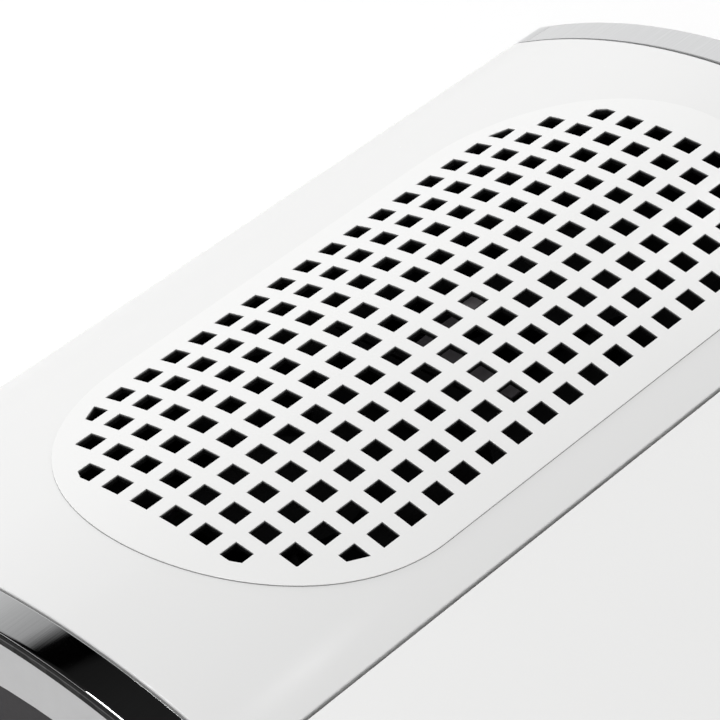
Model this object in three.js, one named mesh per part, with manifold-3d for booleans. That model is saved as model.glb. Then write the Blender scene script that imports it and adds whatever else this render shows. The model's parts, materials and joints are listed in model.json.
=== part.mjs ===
// A low table-top thermoelectric dehumidifier: an arched white housing with a perforated outlet insert on
// top, chrome end trims, side air intakes, two fans over a Peltier cooler, and a water drawer below.
//
// Millimetres. +X runs along the long side, -Y is the front, +Z is up.
// The origin is the middle of the footprint, on the table.

import * as THREE from "three";
import { mergeVertices } from "three/addons/utils/BufferGeometryUtils.js";
import Module from "manifold-3d";

const wasm = await Module();
wasm.setup();

// ---------------------------------------------------------------- driving dimensions

// Housing
const WIDTH = 245; // over both chrome lips
const DEPTH = 210;
const HEIGHT = 150; // table to the crest of the arch
const ARCH_RADIUS = 152;
const ARCH_Y = 32; // the arch's crest, and the middle of the outlet
const SEAM_Y = -22.2; // where the arch ends and the sloping deck begins
const DECK_SLOPE = 13; // degrees, falling towards the front
const FRONT_ROUND = 22;
const BACK_ROUND = 4;
const WALL = 2.4;
const PART_GAP = 0.6; // a visible joint between two covers
const FIT = 0.3; // clearance between pieces that are fixed together
const SLIDE_FIT = 0.4; // clearance round a piece that moves
const REAR_SPLIT = 98; // height where the top shell meets the rear cover
const REAR_LAP = 6; // how far the rear cover runs up behind the top shell
const FRONT_SPLIT = 60; // height where the front cover meets the drawer
const TONGUE_REACH = 8; // how far the front cover's tongue runs under the top shell

// Chrome end trims and end frames
const TRIM_WIDTH = 8.6;
const TRIM_THICK = 1.5;
const LIP_THICK = 1;
const LIP_DROP = 3;
const RIM = 16.5; // from the outer surface to the side opening
const SIDE_BOTTOM = 16; // lower edge of the side opening
const LOUVRE_RECESS = 1.5;
const LOUVRE_THICK = 2.4;
const SLOT_HEIGHT = 3.4;
const SLOT_PITCH = 7;
const SLOT_LENGTH = 34;
const SLOT_RIB = 4;
const INTAKE = { front: -42, back: 78, low: 64, high: 116 };
const FILTER_THICK = 4.4;
const FILTER_RIM = 5;
const FILTER_BAR = 1.6;
const FILTER_CELLS = { across: 6, up: 3 };

// Outlet insert
const OUTLET_X = 2.2; // the outlet lies a little to the right of the middle
const GRILLE_LENGTH = 185;
const GRILLE_WIDTH = 89.4;
const GRILLE_PROUD = 0.5;
const GRILLE_THICK = 1.8;
const GRILLE_LEDGE = 3.5;
const HOLE_PITCH = 8;
const HOLE_SIDE = 4.6;
const HOLE_BORDER = 4.7; // solid border round the perforated field
const HOLE_KEEP = 0.55; // a hole that the border cuts below this share is left out
const TAB = { length: 10, thick: 1.4, drop: 6 };

// Base, drawer and water tank
const FOOT_HEIGHT = 6;
const FOOT_RADIUS = 9;
const FOOT_CHAMFER = 1;
const FOOT_INSET = 24;
const BASE_THICK = 3;
const WALL_INSET = 11.4; // chassis wall, in from the end of the shell
const WINDOW_MARGIN = 4; // solid border round the air window in the chassis wall
const TANK_WALL = 2;
const TANK_TOP = 56;
const TANK_FRONT_SPACE = 15; // between the drawer front and the tank, for the grip
const TANK_BACK_SPACE = 19;
const TANK_FIT = 1.2; // beside the tank
const COVER_DEPTH = 58;
const COVER_THICK = 1.7;
const COVER_LEDGE = { width: 3, thick: 2 };
const GRIP = { width: 72, height: 16, low: 35, wall: 2 };
const WINDOW = { x: -74, width: 8, low: 14, high: 48 };
const FLOAT = { x: 72, arm: 34, width: 22, length: 20, height: 12, pin: 1.5, bar: 6, barThick: 3 };
const FLOAT_EAR = { thick: 2.4, length: 8, lift: 12 };
const LEVEL_SWITCH = { length: 16, width: 6, height: 5 };

// Cooler
const DECK_LIFT = 3; // tank top to the machinery deck
const DECK_THICK = 2.5;
const SINK = { length: 160, width: 80, base: 4, coldFin: 15, hotFin: 11.5, fin: 1.6, pitch: 7 };
const TRAY_DEPTH = 10;
const TRAY_MARGIN = 4;
const SPOUT_RADIUS = 6;
const MODULE = { side: 40, thick: 3.6 };
const CLAMP_SPREAD = 26; // clamp screws, along X from each module's middle
const CLAMP = { radius: 1.5, head: 2.6, headHeight: 2.4, tip: 3 };

// Fans
const FAN_SIZE = 92;
const FAN_THICK = 25;
const FAN_RIM = 2.5; // least wall between the bore and the side of the frame
const FAN_FLANGE = 4;
const HUB_RADIUS = 18.5;
const BLADES = 7;
const BLADE = { thick: 1.5, chord: 30, angle: 48, lead: 6, tipGap: 1.1 };
const IMPELLER_GAP = { below: 3.8, above: 1.8 };
const FAN_STRUT = { width: 3, thick: 2.4, turn: 0.35 };
const FAN_MOTOR_THICK = 3;
const FAN_HOLE_INSET = 4.75;
const FAN_SCREW = { radius: 2, hole: 2.4, head: 3.6, headHeight: 1.9 };
const FAN_PLATE_MARGIN = 8;

// Humidity sensor on its bracket, measured from the middle of the outlet
const BRACKET = { thick: 1, width: 5, start: 2.7, reachX: 24.2, front: -20, back: 8 };
const SENSOR = { x: 18, length: 5, width: 4, height: 2.4 };

// Self-tapping screws of the rear cover
const SCREW = { radius: 1.6, length: 9, head: 3.2, proud: 2, fromEnd: 8, fromBase: 12, fromTop: 10 };

// Controls
const BUTTON = { radius: 7, proud: 0.7, cap: 3.4, stem: 2, y: -72, first: 66, spacing: 26, travel: 1.2 };
const BOARD = { width: 62, length: 34, thick: 1.6, depth: 13.5 };
const POST = { radius: 3, inset: 4 };
const CONNECTOR = { width: 24, length: 6, y: 8, height: 7 };
const SWITCH = { side: 6, height: 4 };
const LENS = { radius: 1.8, length: 6 };
const TONGUE = { thick: 1.5, root: 6 };
const INLET = { x: 82, z: 34, radius: 5.5, flange: 8, proud: 1.8, depth: 12, bore: 3.1, pin: 1 };
const VENT = { count: 11, pitch: 8, width: 3.4, height: 26, x: -42, z: 62 };

// ---------------------------------------------------------------- worked-out places

const slope = THREE.MathUtils.degToRad(DECK_SLOPE);
const archBase = HEIGHT - ARCH_RADIUS;
const seamZ = archBase + Math.sqrt(ARCH_RADIUS ** 2 - (SEAM_Y - ARCH_Y) ** 2);
const front = -DEPTH / 2;
const back = DEPTH / 2;
const rearFace = back - WALL - SLIDE_FIT; // the rear cover laps up inside the top shell
const shellEnd = WIDTH / 2 - TRIM_WIDTH - PART_GAP;
const trimStart = WIDTH / 2 - TRIM_WIDTH;
const endFace = WIDTH / 2 - LIP_THICK - FIT;
const chassisX = shellEnd - WALL_INSET;
const baseTop = FOOT_HEIGHT + BASE_THICK;
const deckLow = TANK_TOP + DECK_LIFT;
const deckTop = deckLow + DECK_THICK;
const trayLow = deckTop + FIT;
const coldFinLow = trayLow + TRAY_DEPTH - 3;
const coldBase = coldFinLow + SINK.coldFin;
const moduleLow = coldBase + SINK.base + FIT;
const hotBase = moduleLow + MODULE.thick + FIT;
const fanPlateLow = hotBase + SINK.base + SINK.hotFin + FIT;
const fanLow = fanPlateLow + DECK_THICK + FIT;
const fanTop = fanLow + FAN_THICK;
const fanX = FAN_SIZE / 2 + FIT;
const fanBore = FAN_SIZE / 2 - FAN_RIM;
const fanHole = FAN_SIZE / 2 - FAN_HOLE_INSET; // screw hole, along X and Y from the fan's axis
const louvreFace = endFace - LOUVRE_RECESS;
const filterFace = louvreFace - LOUVRE_THICK - FIT;

// The outer surface's height over the deck at a given Y.
const deckHeight = (y) => seamZ + (y - SEAM_Y) * Math.tan(slope);

// ---------------------------------------------------------------- finishes

function finish(color, roughness, metalness = 0) {
  return new THREE.MeshStandardMaterial({ color, roughness, metalness });
}
const glossWhite = finish(0xf2f2f1, 0.12);
const satinWhite = finish(0xf0f0ee, 0.35);
const chrome = finish(0xd8dadc, 0.06, 1);
const silverGrey = finish(0xb9babb, 0.45);
const darkGrey = finish(0x38363a, 0.4);
const black = finish(0x0c0c0d, 0.4);
const aluminium = finish(0xb5b8ba, 0.4, 1);
const steel = finish(0xa4a7aa, 0.3, 1);
const ceramic = finish(0xeceae4, 0.7);
const foam = finish(0x55575a, 0.95);
const smokedTank = finish(0xb9c6cc, 0.15);
const clear = finish(0xdfe8ea, 0.08);
const rubber = finish(0x18181a, 0.85);
const circuit = finish(0x1f5136, 0.5);

// ---------------------------------------------------------------- solids

// A closed geometry as a manifold-3d solid.
function solid(geometry) {
  const bare = geometry.clone();
  bare.deleteAttribute("normal");
  bare.deleteAttribute("uv");
  const merged = mergeVertices(bare, 1e-4);
  const mesh = new wasm.Mesh({
    numProp: 3,
    vertProperties: merged.attributes.position.array,
    triVerts: new Uint32Array(merged.index.array),
  });
  return new wasm.Manifold(mesh);
}

// A manifold-3d solid back as a three.js geometry.
function geometryOf(manifold) {
  const mesh = manifold.getMesh();
  const geometry = new THREE.BufferGeometry();
  geometry.setAttribute("position", new THREE.BufferAttribute(Float32Array.from(mesh.vertProperties), 3));
  geometry.setIndex(new THREE.BufferAttribute(Uint32Array.from(mesh.triVerts), 1));
  geometry.computeVertexNormals();
  return geometry;
}

// A block between two corners.
function block(x0, x1, y0, y1, z0, z1) {
  const box = new THREE.BoxGeometry(x1 - x0, y1 - y0, z1 - z0);
  return solid(box.translate((x0 + x1) / 2, (y0 + y1) / 2, (z0 + z1) / 2));
}

// An upright round bar.
function rod(radius, z0, z1, x = 0, y = 0, sides = 24) {
  const bar = new THREE.CylinderGeometry(radius, radius, z1 - z0, sides);
  return solid(bar.rotateX(Math.PI / 2).translate(x, y, (z0 + z1) / 2));
}

// A round bar along Y, from y0 to y1.
function rodAlongY(radius, y0, y1, x, z, sides = 24) {
  return solid(new THREE.CylinderGeometry(radius, radius, y1 - y0, sides).translate(x, (y0 + y1) / 2, z));
}

// A round bar along X, from x0 to x1.
function rodAlongX(radius, x0, x1, y, z, sides = 16) {
  const bar = new THREE.CylinderGeometry(radius, radius, x1 - x0, sides);
  return solid(bar.rotateZ(Math.PI / 2).translate((x0 + x1) / 2, y, z));
}

function extrude(shape, depth) {
  return new THREE.ExtrudeGeometry(shape, { depth, bevelEnabled: false, curveSegments: 20 });
}

// A side outline, drawn in Y and Z, run along X.
function alongX(shape, x0, x1) {
  const turn = new THREE.Matrix4().makeBasis(
    new THREE.Vector3(0, 1, 0),
    new THREE.Vector3(0, 0, 1),
    new THREE.Vector3(1, 0, 0),
  );
  return solid(extrude(shape, x1 - x0).applyMatrix4(turn).translate(x0, 0, 0));
}

// The housing's side outline, a distance inside the outer surface and down to the given height: front
// wall, front round, sloping deck, arch, back round and back wall.
function sideOutline(inset, bottom) {
  const points = [new THREE.Vector2(front + inset, bottom)];
  const arc = (cy, cz, radius, from, to, steps) => {
    for (let i = 0; i <= steps; i++) {
      const angle = from + ((to - from) * i) / steps;
      points.push(new THREE.Vector2(cy + radius * Math.cos(angle), cz + radius * Math.sin(angle)));
    }
  };
  const frontRound = Math.max(FRONT_ROUND - inset, 1);
  const frontY = front + inset + frontRound;
  const frontZ = deckHeight(frontY) - (inset + frontRound) / Math.cos(slope);
  arc(frontY, frontZ, frontRound, Math.PI, Math.PI / 2 + slope, 8);

  const radius = ARCH_RADIUS - inset;
  const seamAngle = Math.asin((ARCH_Y - SEAM_Y) / ARCH_RADIUS);
  const deckDistance = ARCH_RADIUS * Math.cos(seamAngle - slope) - inset;
  const start = slope + Math.acos(deckDistance / radius);
  const backRound = Math.max(BACK_ROUND - inset, 0.6);
  const backY = back - inset - backRound;
  const end = Math.asin((backY - ARCH_Y) / (radius - backRound));
  const step = HOLE_PITCH / ARCH_RADIUS;
  const addOnArch = (angle) => {
    points.push(new THREE.Vector2(ARCH_Y + radius * Math.sin(angle), archBase + radius * Math.cos(angle)));
  };
  addOnArch(-start);
  for (let k = Math.ceil(-start / step + 0.2); k * step < end - 0.2 * step; k++) addOnArch(k * step);
  const backZ = archBase + (radius - backRound) * Math.cos(end);
  arc(backY, backZ, backRound, Math.PI / 2 - end, 0, 3);
  points.push(new THREE.Vector2(back - inset, bottom));
  return new THREE.Shape(points);
}

// The housing's skin between two insets, over a stretch of X and above the given height.
function skin(outer, inner, x0, x1, bottom) {
  const hollow = alongX(sideOutline(inner, bottom - 1), x0 - 1, x1 + 1);
  return alongX(sideOutline(outer, bottom), x0, x1).subtract(hollow);
}

// An upright prism on a stadium: a rectangle with half-round ends, centred on the outlet.
function stadium(length, width, z0, z1) {
  const radius = width / 2;
  const reach = length / 2 - radius;
  const shape = new THREE.Shape();
  shape.absarc(OUTLET_X + reach, ARCH_Y, radius, -Math.PI / 2, Math.PI / 2, false);
  shape.absarc(OUTLET_X - reach, ARCH_Y, radius, Math.PI / 2, (Math.PI * 3) / 2, false);
  return solid(extrude(shape, z1 - z0).translate(0, 0, z0));
}

// A solid turned from standing on the table to standing on the deck's slope at (x, y), from which
// local Z is measured outwards.
function onDeck(piece, x, y) {
  const place = new THREE.Matrix4().makeRotationX(slope);
  place.setPosition(x, y, deckHeight(y));
  return piece.transform(place.elements);
}

const join = (pieces) => pieces.reduce((all, piece) => all.add(piece));
const both = [
  ["left", -1],
  ["right", 1],
];

// ---------------------------------------------------------------- scene

const dehumidifier = new THREE.Group();
dehumidifier.name = "dehumidifier";

function add(name, piece, material, parent = dehumidifier) {
  const mesh = new THREE.Mesh(geometryOf(piece), material);
  mesh.name = name;
  parent.add(mesh);
  return mesh;
}

function group(x, y, z) {
  const holder = new THREE.Group();
  holder.position.set(x, y, z);
  dehumidifier.add(holder);
  return holder;
}

// ---------------------------------------------------------------- outlet insert and top shell

const gridAngle = (row) => (row * HOLE_PITCH) / ARCH_RADIUS;

// Every square hole of the perforated field, cut round by the border.
function outletHoles() {
  const low = HEIGHT - GRILLE_WIDTH / 2;
  const field = stadium(GRILLE_LENGTH - 2 * HOLE_BORDER, GRILLE_WIDTH - 2 * HOLE_BORDER, low, HEIGHT + 5);
  const full = HOLE_SIDE ** 2 * (HEIGHT + 5 - low);
  const columns = Math.floor(GRILLE_LENGTH / 2 / HOLE_PITCH);
  const rows = Math.floor(GRILLE_WIDTH / 2 / HOLE_PITCH);
  const holes = [];
  for (let i = -columns; i <= columns; i++) {
    for (let j = -rows; j < rows; j++) {
      const x = OUTLET_X + i * HOLE_PITCH;
      const y = ARCH_Y + ARCH_RADIUS * Math.sin(gridAngle(j + 0.5));
      const half = HOLE_SIDE / 2;
      const hole = block(x - half, x + half, y - half, y + half, low, HEIGHT + 5).intersect(field);
      if (hole.volume() > HOLE_KEEP * full) holes.push(hole);
    }
  }
  return join(holes);
}

function outletGrille() {
  const thickBelow = GRILLE_THICK - GRILLE_PROUD;
  const band = skin(-GRILLE_PROUD, thickBelow, -WIDTH / 2, WIDTH / 2, HEIGHT / 2);
  const plate = stadium(GRILLE_LENGTH, GRILLE_WIDTH, HEIGHT / 2 + 1, HEIGHT + 5).intersect(band);
  const tabY = GRILLE_WIDTH / 2 - GRILLE_LEDGE - FIT - TAB.thick;
  const tabTop = archBase + Math.sqrt((ARCH_RADIUS - thickBelow / 2) ** 2 - (tabY + TAB.thick) ** 2);
  const tabs = [];
  for (const x of [-1, 1].map((side) => OUTLET_X + (side * GRILLE_LENGTH) / 5)) {
    for (const side of [-1, 1]) {
      const half = TAB.thick / 2;
      const y = ARCH_Y + side * (tabY + half);
      const reach = TAB.length / 2;
      tabs.push(block(x - reach, x + reach, y - half, y + half, tabTop - TAB.drop, tabTop));
    }
  }
  return plate.subtract(outletHoles()).add(join(tabs));
}

function topShell() {
  const body = skin(0, WALL, -shellEnd, shellEnd, REAR_SPLIT);
  const forward = block(-WIDTH, WIDTH, front - 1, SEAM_Y + PART_GAP / 2, 0, HEIGHT * 2);
  const seat = GRILLE_THICK - GRILLE_PROUD + FIT;
  const cutter = (grow) => stadium(GRILLE_LENGTH + grow, GRILLE_WIDTH + grow, HEIGHT / 2, HEIGHT + 5);
  const core = alongX(sideOutline(seat, 0), -WIDTH, WIDTH);
  const rebate = cutter(2 * SLIDE_FIT).subtract(core);
  return body.subtract(forward).subtract(rebate).subtract(cutter(-2 * GRILLE_LEDGE));
}

add("outlet_grille", outletGrille(), satinWhite);
add("top_shell", topShell(), glossWhite);

// ---------------------------------------------------------------- front cover and controls

const buttonPlaces = [
  ["power_button", BUTTON.first],
  ["fan_speed_button", BUTTON.first + BUTTON.spacing],
];
const boardX = BUTTON.first + BUTTON.spacing / 2;
const postPlaces = [-1, 1].map((side) => boardX + side * (BOARD.width / 2 - POST.inset));

function frontCover() {
  const body = skin(0, WALL, -shellEnd, shellEnd, FRONT_SPLIT);
  const ahead = block(-WIDTH, WIDTH, front - 1, SEAM_Y - PART_GAP / 2, 0, HEIGHT * 2);
  const tongueEnd = shellEnd - WALL;
  const slice = (y) => block(-WIDTH, WIDTH, SEAM_Y - TONGUE.root, y, 0, HEIGHT * 2);
  const under = WALL + FIT;
  const tongue = skin(under, under + TONGUE.thick, -tongueEnd, tongueEnd, FRONT_SPLIT);
  const bridge = skin(WALL / 2, under + TONGUE.thick / 2, -tongueEnd, tongueEnd, FRONT_SPLIT);
  const post = rod(POST.radius, -BOARD.depth + FIT, -WALL / 2, 0, 0, 12);
  const posts = postPlaces.map((x) => onDeck(post, x, BUTTON.y));
  const bores = buttonPlaces.map(([, x]) => onDeck(rod(BUTTON.radius + SLIDE_FIT, -10, 10), x, BUTTON.y));
  const lensHole = onDeck(rod(LENS.radius + FIT, -10, 10, 0, 0, 16), boardX, BUTTON.y);
  return body
    .intersect(ahead)
    .add(tongue.intersect(slice(SEAM_Y + TONGUE_REACH)))
    .add(bridge.intersect(slice(SEAM_Y - PART_GAP)))
    .add(join(posts))
    .subtract(join(bores))
    .subtract(lensHole);
}

function pushButton() {
  const cap = rod(BUTTON.radius, BUTTON.proud - BUTTON.cap, BUTTON.proud);
  const tip = -BOARD.depth + BOARD.thick + SWITCH.height + BUTTON.travel;
  return cap.add(rod(BUTTON.stem, tip, BUTTON.proud - BUTTON.cap / 2, 0, 0, 12));
}

function controlBoard() {
  const top = -BOARD.depth;
  const within = top - BOARD.thick / 2;
  const halfX = BOARD.width / 2;
  const halfY = BOARD.length / 2;
  const sheet = block(-halfX, halfX, -halfY, halfY, top - BOARD.thick, top);
  const half = SWITCH.side / 2;
  const parts = [-1, 1].map((side) => {
    const x = (side * BUTTON.spacing) / 2;
    return block(x - half, x + half, -half, half, within, top + SWITCH.height);
  });
  const reach = CONNECTOR.width / 2;
  const far = CONNECTOR.y + CONNECTOR.length;
  parts.push(block(-reach, reach, CONNECTOR.y, far, within, top + CONNECTOR.height));
  return onDeck(sheet.add(join(parts)), boardX, BUTTON.y);
}

// ---------------------------------------------------------------- end trims, frames, louvres and filters

function chromeTrim() {
  const band = skin(0, TRIM_THICK, trimStart, WIDTH / 2, FOOT_HEIGHT);
  return band.add(skin(0, LIP_DROP, WIDTH / 2 - LIP_THICK, WIDTH / 2, FOOT_HEIGHT));
}

function endFrame() {
  const plate = alongX(sideOutline(TRIM_THICK + FIT, FOOT_HEIGHT), trimStart, endFace);
  return plate.subtract(alongX(sideOutline(RIM, SIDE_BOTTOM), 0, WIDTH));
}

// The intake slots, in upright columns between ribs.
function intakeSlots(x0, x1) {
  const slots = [];
  const span = INTAKE.back - INTAKE.front;
  const columns = Math.floor((span + SLOT_RIB) / (SLOT_LENGTH + SLOT_RIB));
  const used = columns * (SLOT_LENGTH + SLOT_RIB) - SLOT_RIB;
  for (let z = INTAKE.low + SLOT_PITCH / 2; z + SLOT_HEIGHT < INTAKE.high; z += SLOT_PITCH) {
    for (let i = 0; i < columns; i++) {
      const y = INTAKE.front + (span - used) / 2 + i * (SLOT_LENGTH + SLOT_RIB);
      slots.push(block(x0, x1, y, y + SLOT_LENGTH, z, z + SLOT_HEIGHT));
    }
  }
  return join(slots);
}

function sideLouvre() {
  const low = SIDE_BOTTOM + SLIDE_FIT;
  const plate = alongX(sideOutline(RIM + SLIDE_FIT, low), louvreFace - LOUVRE_THICK, louvreFace);
  return plate.subtract(intakeSlots(shellEnd, WIDTH));
}

function airFilter() {
  const x0 = filterFace - FILTER_THICK;
  const frame = block(x0, filterFace, INTAKE.front, INTAKE.back, INTAKE.low, INTAKE.high);
  const inner = { y: INTAKE.front + FILTER_RIM, z: INTAKE.low + FILTER_RIM };
  const cellY = (INTAKE.back - FILTER_RIM - inner.y + FILTER_BAR) / FILTER_CELLS.across;
  const cellZ = (INTAKE.high - FILTER_RIM - inner.z + FILTER_BAR) / FILTER_CELLS.up;
  const cells = [];
  for (let i = 0; i < FILTER_CELLS.across; i++) {
    for (let j = 0; j < FILTER_CELLS.up; j++) {
      const y = inner.y + i * cellY;
      const z = inner.z + j * cellZ;
      cells.push(block(x0 - 1, filterFace - 1, y, y + cellY - FILTER_BAR, z, z + cellZ - FILTER_BAR));
    }
  }
  return frame.subtract(join(cells));
}

add("front_cover", frontCover(), glossWhite);
for (const [name, x] of buttonPlaces) add(name, onDeck(pushButton(), x, BUTTON.y), silverGrey);
add("indicator_lens", onDeck(rod(LENS.radius, -LENS.length, 0, 0, 0, 16), boardX, BUTTON.y), clear);
add("control_board", controlBoard(), circuit);

for (const [side, sign] of both) {
  const end = new THREE.Group();
  end.scale.x = sign;
  dehumidifier.add(end);
  add(`chrome_trim_${side}`, chromeTrim(), chrome, end);
  add(`end_frame_${side}`, endFrame(), silverGrey, end);
  add(`side_louvre_${side}`, sideLouvre(), darkGrey, end);
  add(`air_filter_${side}`, airFilter(), foam, end);
}

// ---------------------------------------------------------------- base, chassis and rear cover

const baseFront = front + WALL + FIT;
const baseBack = rearFace - WALL - FIT;
const chassisFront = front + TANK_FRONT_SPACE;
const plateTop = fanPlateLow - FIT;

function chassisWall(sign) {
  const inner = chassisX - WALL;
  const wall = block(inner, chassisX, chassisFront, baseBack - FIT, baseTop + FIT, plateTop);
  const margin = WINDOW_MARGIN;
  const [y0, y1] = [INTAKE.front + margin, INTAKE.back - margin];
  const window = block(0, WIDTH, y0, y1, deckTop + margin, plateTop - margin);
  return wall.subtract(window).transform(new THREE.Matrix4().makeScale(sign, 1, 1).elements);
}

function rearCover() {
  const through = [rearFace - WALL - 1, rearFace + 1];
  const top = REAR_SPLIT + REAR_LAP;
  const plate = block(-shellEnd, shellEnd, rearFace - WALL, rearFace, FOOT_HEIGHT + FIT, top);
  const holes = [rodAlongY(INLET.radius + FIT, ...through, INLET.x, INLET.z)];
  for (let i = 0; i < VENT.count; i++) {
    const x = VENT.x + i * VENT.pitch;
    holes.push(block(x, x + VENT.width, ...through, VENT.z, VENT.z + VENT.height));
  }
  for (const [x, z] of rearScrewPlaces) holes.push(rodAlongY(SCREW.radius + FIT, ...through, x, z, 12));
  return plate.subtract(join(holes));
}

// A pan-head screw along Y with its head outside the rear cover.
function rearScrew(x, z) {
  const head = rodAlongY(SCREW.head, rearFace + FIT, rearFace + SCREW.proud, x, z, 16);
  return head.add(rodAlongY(SCREW.radius, rearFace - SCREW.length, rearFace + 1, x, z, 12));
}

const rearScrewPlaces = [];
for (const x of [-1, 1].map((side) => side * (shellEnd - SCREW.fromEnd))) {
  for (const z of [FOOT_HEIGHT + SCREW.fromBase, REAR_SPLIT - SCREW.fromTop]) rearScrewPlaces.push([x, z]);
}

add("base_plate", block(-shellEnd, shellEnd, baseFront, baseBack, FOOT_HEIGHT, baseTop), darkGrey);
for (const [side, sign] of both) {
  for (const [end, toward] of [["front", -1], ["back", 1]]) {
    const spot = group(sign * (shellEnd - FOOT_INSET), toward * (back - FOOT_INSET), 0);
    const foot = new THREE.LatheGeometry(
      [
        new THREE.Vector2(0, 0),
        new THREE.Vector2(FOOT_RADIUS - FOOT_CHAMFER, 0),
        new THREE.Vector2(FOOT_RADIUS, FOOT_CHAMFER),
        new THREE.Vector2(FOOT_RADIUS, FOOT_HEIGHT - FIT),
        new THREE.Vector2(0, FOOT_HEIGHT - FIT),
      ],
      24,
    ).rotateX(Math.PI / 2);
    add(`foot_${end}_${side}`, solid(foot), rubber, spot);
  }
  add(`chassis_wall_${side}`, chassisWall(sign), black);
}
add("rear_cover", rearCover(), satinWhite);
rearScrewPlaces.forEach(([x, z], i) => add(`rear_screw_${i + 1}`, rearScrew(x, z), steel));

function dcInlet() {
  const inner = rearFace - INLET.depth;
  const face = rodAlongY(INLET.flange, rearFace + FIT, rearFace + INLET.proud, INLET.x, INLET.z, 16);
  const barrel = rodAlongY(INLET.radius, inner, rearFace + 1, INLET.x, INLET.z, 12);
  const bore = rodAlongY(INLET.bore, inner + 2, back + 1, INLET.x, INLET.z, 12);
  const pin = rodAlongY(INLET.pin, inner + 1, rearFace, INLET.x, INLET.z, 6);
  return face.add(barrel).subtract(bore).add(pin);
}
add("dc_inlet", dcInlet(), black);

// ---------------------------------------------------------------- water drawer

const tankSide = chassisX - WALL - TANK_FIT;
const tankFrontFace = front + TANK_FRONT_SPACE + TANK_WALL;
const tankBack = back - TANK_BACK_SPACE;
const tankLow = baseTop + PART_GAP;
// The level switch stands just ahead of the drip tray, and the float's magnet lies under it.
const switchY = ARCH_Y - SINK.width / 2 - TRAY_MARGIN - LEVEL_SWITCH.width / 2 - PART_GAP;
const pivot = { y: switchY + FLOAT.arm, z: tankLow + FLOAT_EAR.lift };
const coverTop = TANK_TOP - FIT;

function waterTank() {
  const outer = block(-tankSide, tankSide, tankFrontFace, tankBack, tankLow, TANK_TOP);
  const inside = tankSide - TANK_WALL;
  const innerFront = tankFrontFace + TANK_WALL;
  const floor = tankLow + TANK_WALL;
  const cavity = block(-inside, inside, innerFront, tankBack - TANK_WALL, floor, TANK_TOP + 5);
  const ledgeTop = coverTop - COVER_THICK - FIT;
  const ledgeX = inside - COVER_LEDGE.width / 2;
  const ledges = [-1, 1].map((side) => {
    const x = side * ledgeX;
    const half = COVER_LEDGE.width / 2 + 0.5;
    const far = innerFront + COVER_DEPTH;
    return block(x - half, x + half, innerFront - 0.5, far, ledgeTop - COVER_LEDGE.thick, ledgeTop);
  });
  const ears = [-1, 1].map((side) => {
    const half = FLOAT_EAR.thick / 2;
    const reach = FLOAT_EAR.length / 2;
    const x = FLOAT.x + side * (FLOAT.width / 2 + SLIDE_FIT + half);
    const ear = block(x - half, x + half, pivot.y - reach, pivot.y + reach, tankLow + 1, pivot.z + reach);
    return ear.subtract(rodAlongX(FLOAT.pin + FIT, x - half - 1, x + half + 1, pivot.y, pivot.z));
  });
  return outer.subtract(cavity).add(join(ledges)).add(join(ears));
}

function tankCover() {
  const inside = tankSide - TANK_WALL - SLIDE_FIT;
  const innerFront = tankFrontFace + TANK_WALL + SLIDE_FIT;
  const far = tankFrontFace + TANK_WALL + COVER_DEPTH - SLIDE_FIT;
  return block(-inside, inside, innerFront, far, coverTop - COVER_THICK, coverTop);
}

// The drawer's front with its grip pocket and the slot for the level window.
function tankFront() {
  const top = FRONT_SPLIT - PART_GAP;
  const plate = block(-shellEnd, shellEnd, front, front + WALL, FOOT_HEIGHT + FIT, top);
  const reach = GRIP.width / 2;
  const skirt = reach + GRIP.wall;
  const high = GRIP.low + GRIP.height;
  const deep = tankFrontFace - FIT;
  const pocket = block(-skirt, skirt, front + WALL / 2, deep, GRIP.low - GRIP.wall, high + GRIP.wall);
  const hollow = block(-reach, reach, front - 1, deep - GRIP.wall, GRIP.low, high);
  const half = WINDOW.width / 2 + FIT;
  const [x0, x1] = [WINDOW.x - half, WINDOW.x + half];
  const slot = block(x0, x1, front - 1, deep, WINDOW.low - FIT, WINDOW.high + FIT);
  return plate.add(pocket).subtract(hollow).subtract(slot);
}

function levelWindow() {
  const half = WINDOW.width / 2;
  const [x0, x1] = [WINDOW.x - half, WINDOW.x + half];
  return block(x0, x1, front, tankFrontFace - FIT, WINDOW.low, WINDOW.high);
}

// The float: an arm on a cross pin with a block at its free end.
function floatArm() {
  const reach = FLOAT.width / 2;
  const half = FLOAT.bar / 2;
  const thin = FLOAT.barThick / 2;
  const endY = pivot.y - FLOAT.arm;
  const bar = block(FLOAT.x - half, FLOAT.x + half, endY, pivot.y + 2.5, pivot.z - thin, pivot.z + thin);
  const low = pivot.z - 2 - FLOAT.height / 2;
  const bob = block(
    FLOAT.x - reach,
    FLOAT.x + reach,
    endY - FLOAT.length / 2,
    endY + FLOAT.length / 2,
    low,
    low + FLOAT.height,
  );
  const end = reach + SLIDE_FIT + 2;
  return bar.add(bob).add(rodAlongX(FLOAT.pin, FLOAT.x - end, FLOAT.x + end, pivot.y, pivot.z));
}

add("water_tank", waterTank(), smokedTank);
add("tank_cover", tankCover(), smokedTank);
add("tank_front", tankFront(), glossWhite);
add("level_window", levelWindow(), clear);
add("float_arm", floatArm(), ceramic);

// ---------------------------------------------------------------- machinery deck, tray and cooler

// The clamp screws lie between two fins, so they and their heads pass the fins.
const clampY = ARCH_Y;
const clampPlaces = [];
for (const [, sign] of both) {
  for (const offset of [-CLAMP_SPREAD, CLAMP_SPREAD]) clampPlaces.push(sign * fanX + offset);
}

function machineryDeck() {
  const side = chassisX - WALL - FIT;
  const sheet = block(-side, side, chassisFront, baseBack - FIT, deckLow, deckTop);
  return sheet.subtract(rod(SPOUT_RADIUS + FIT, deckLow - 1, deckTop + 1, 0, ARCH_Y));
}

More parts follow.
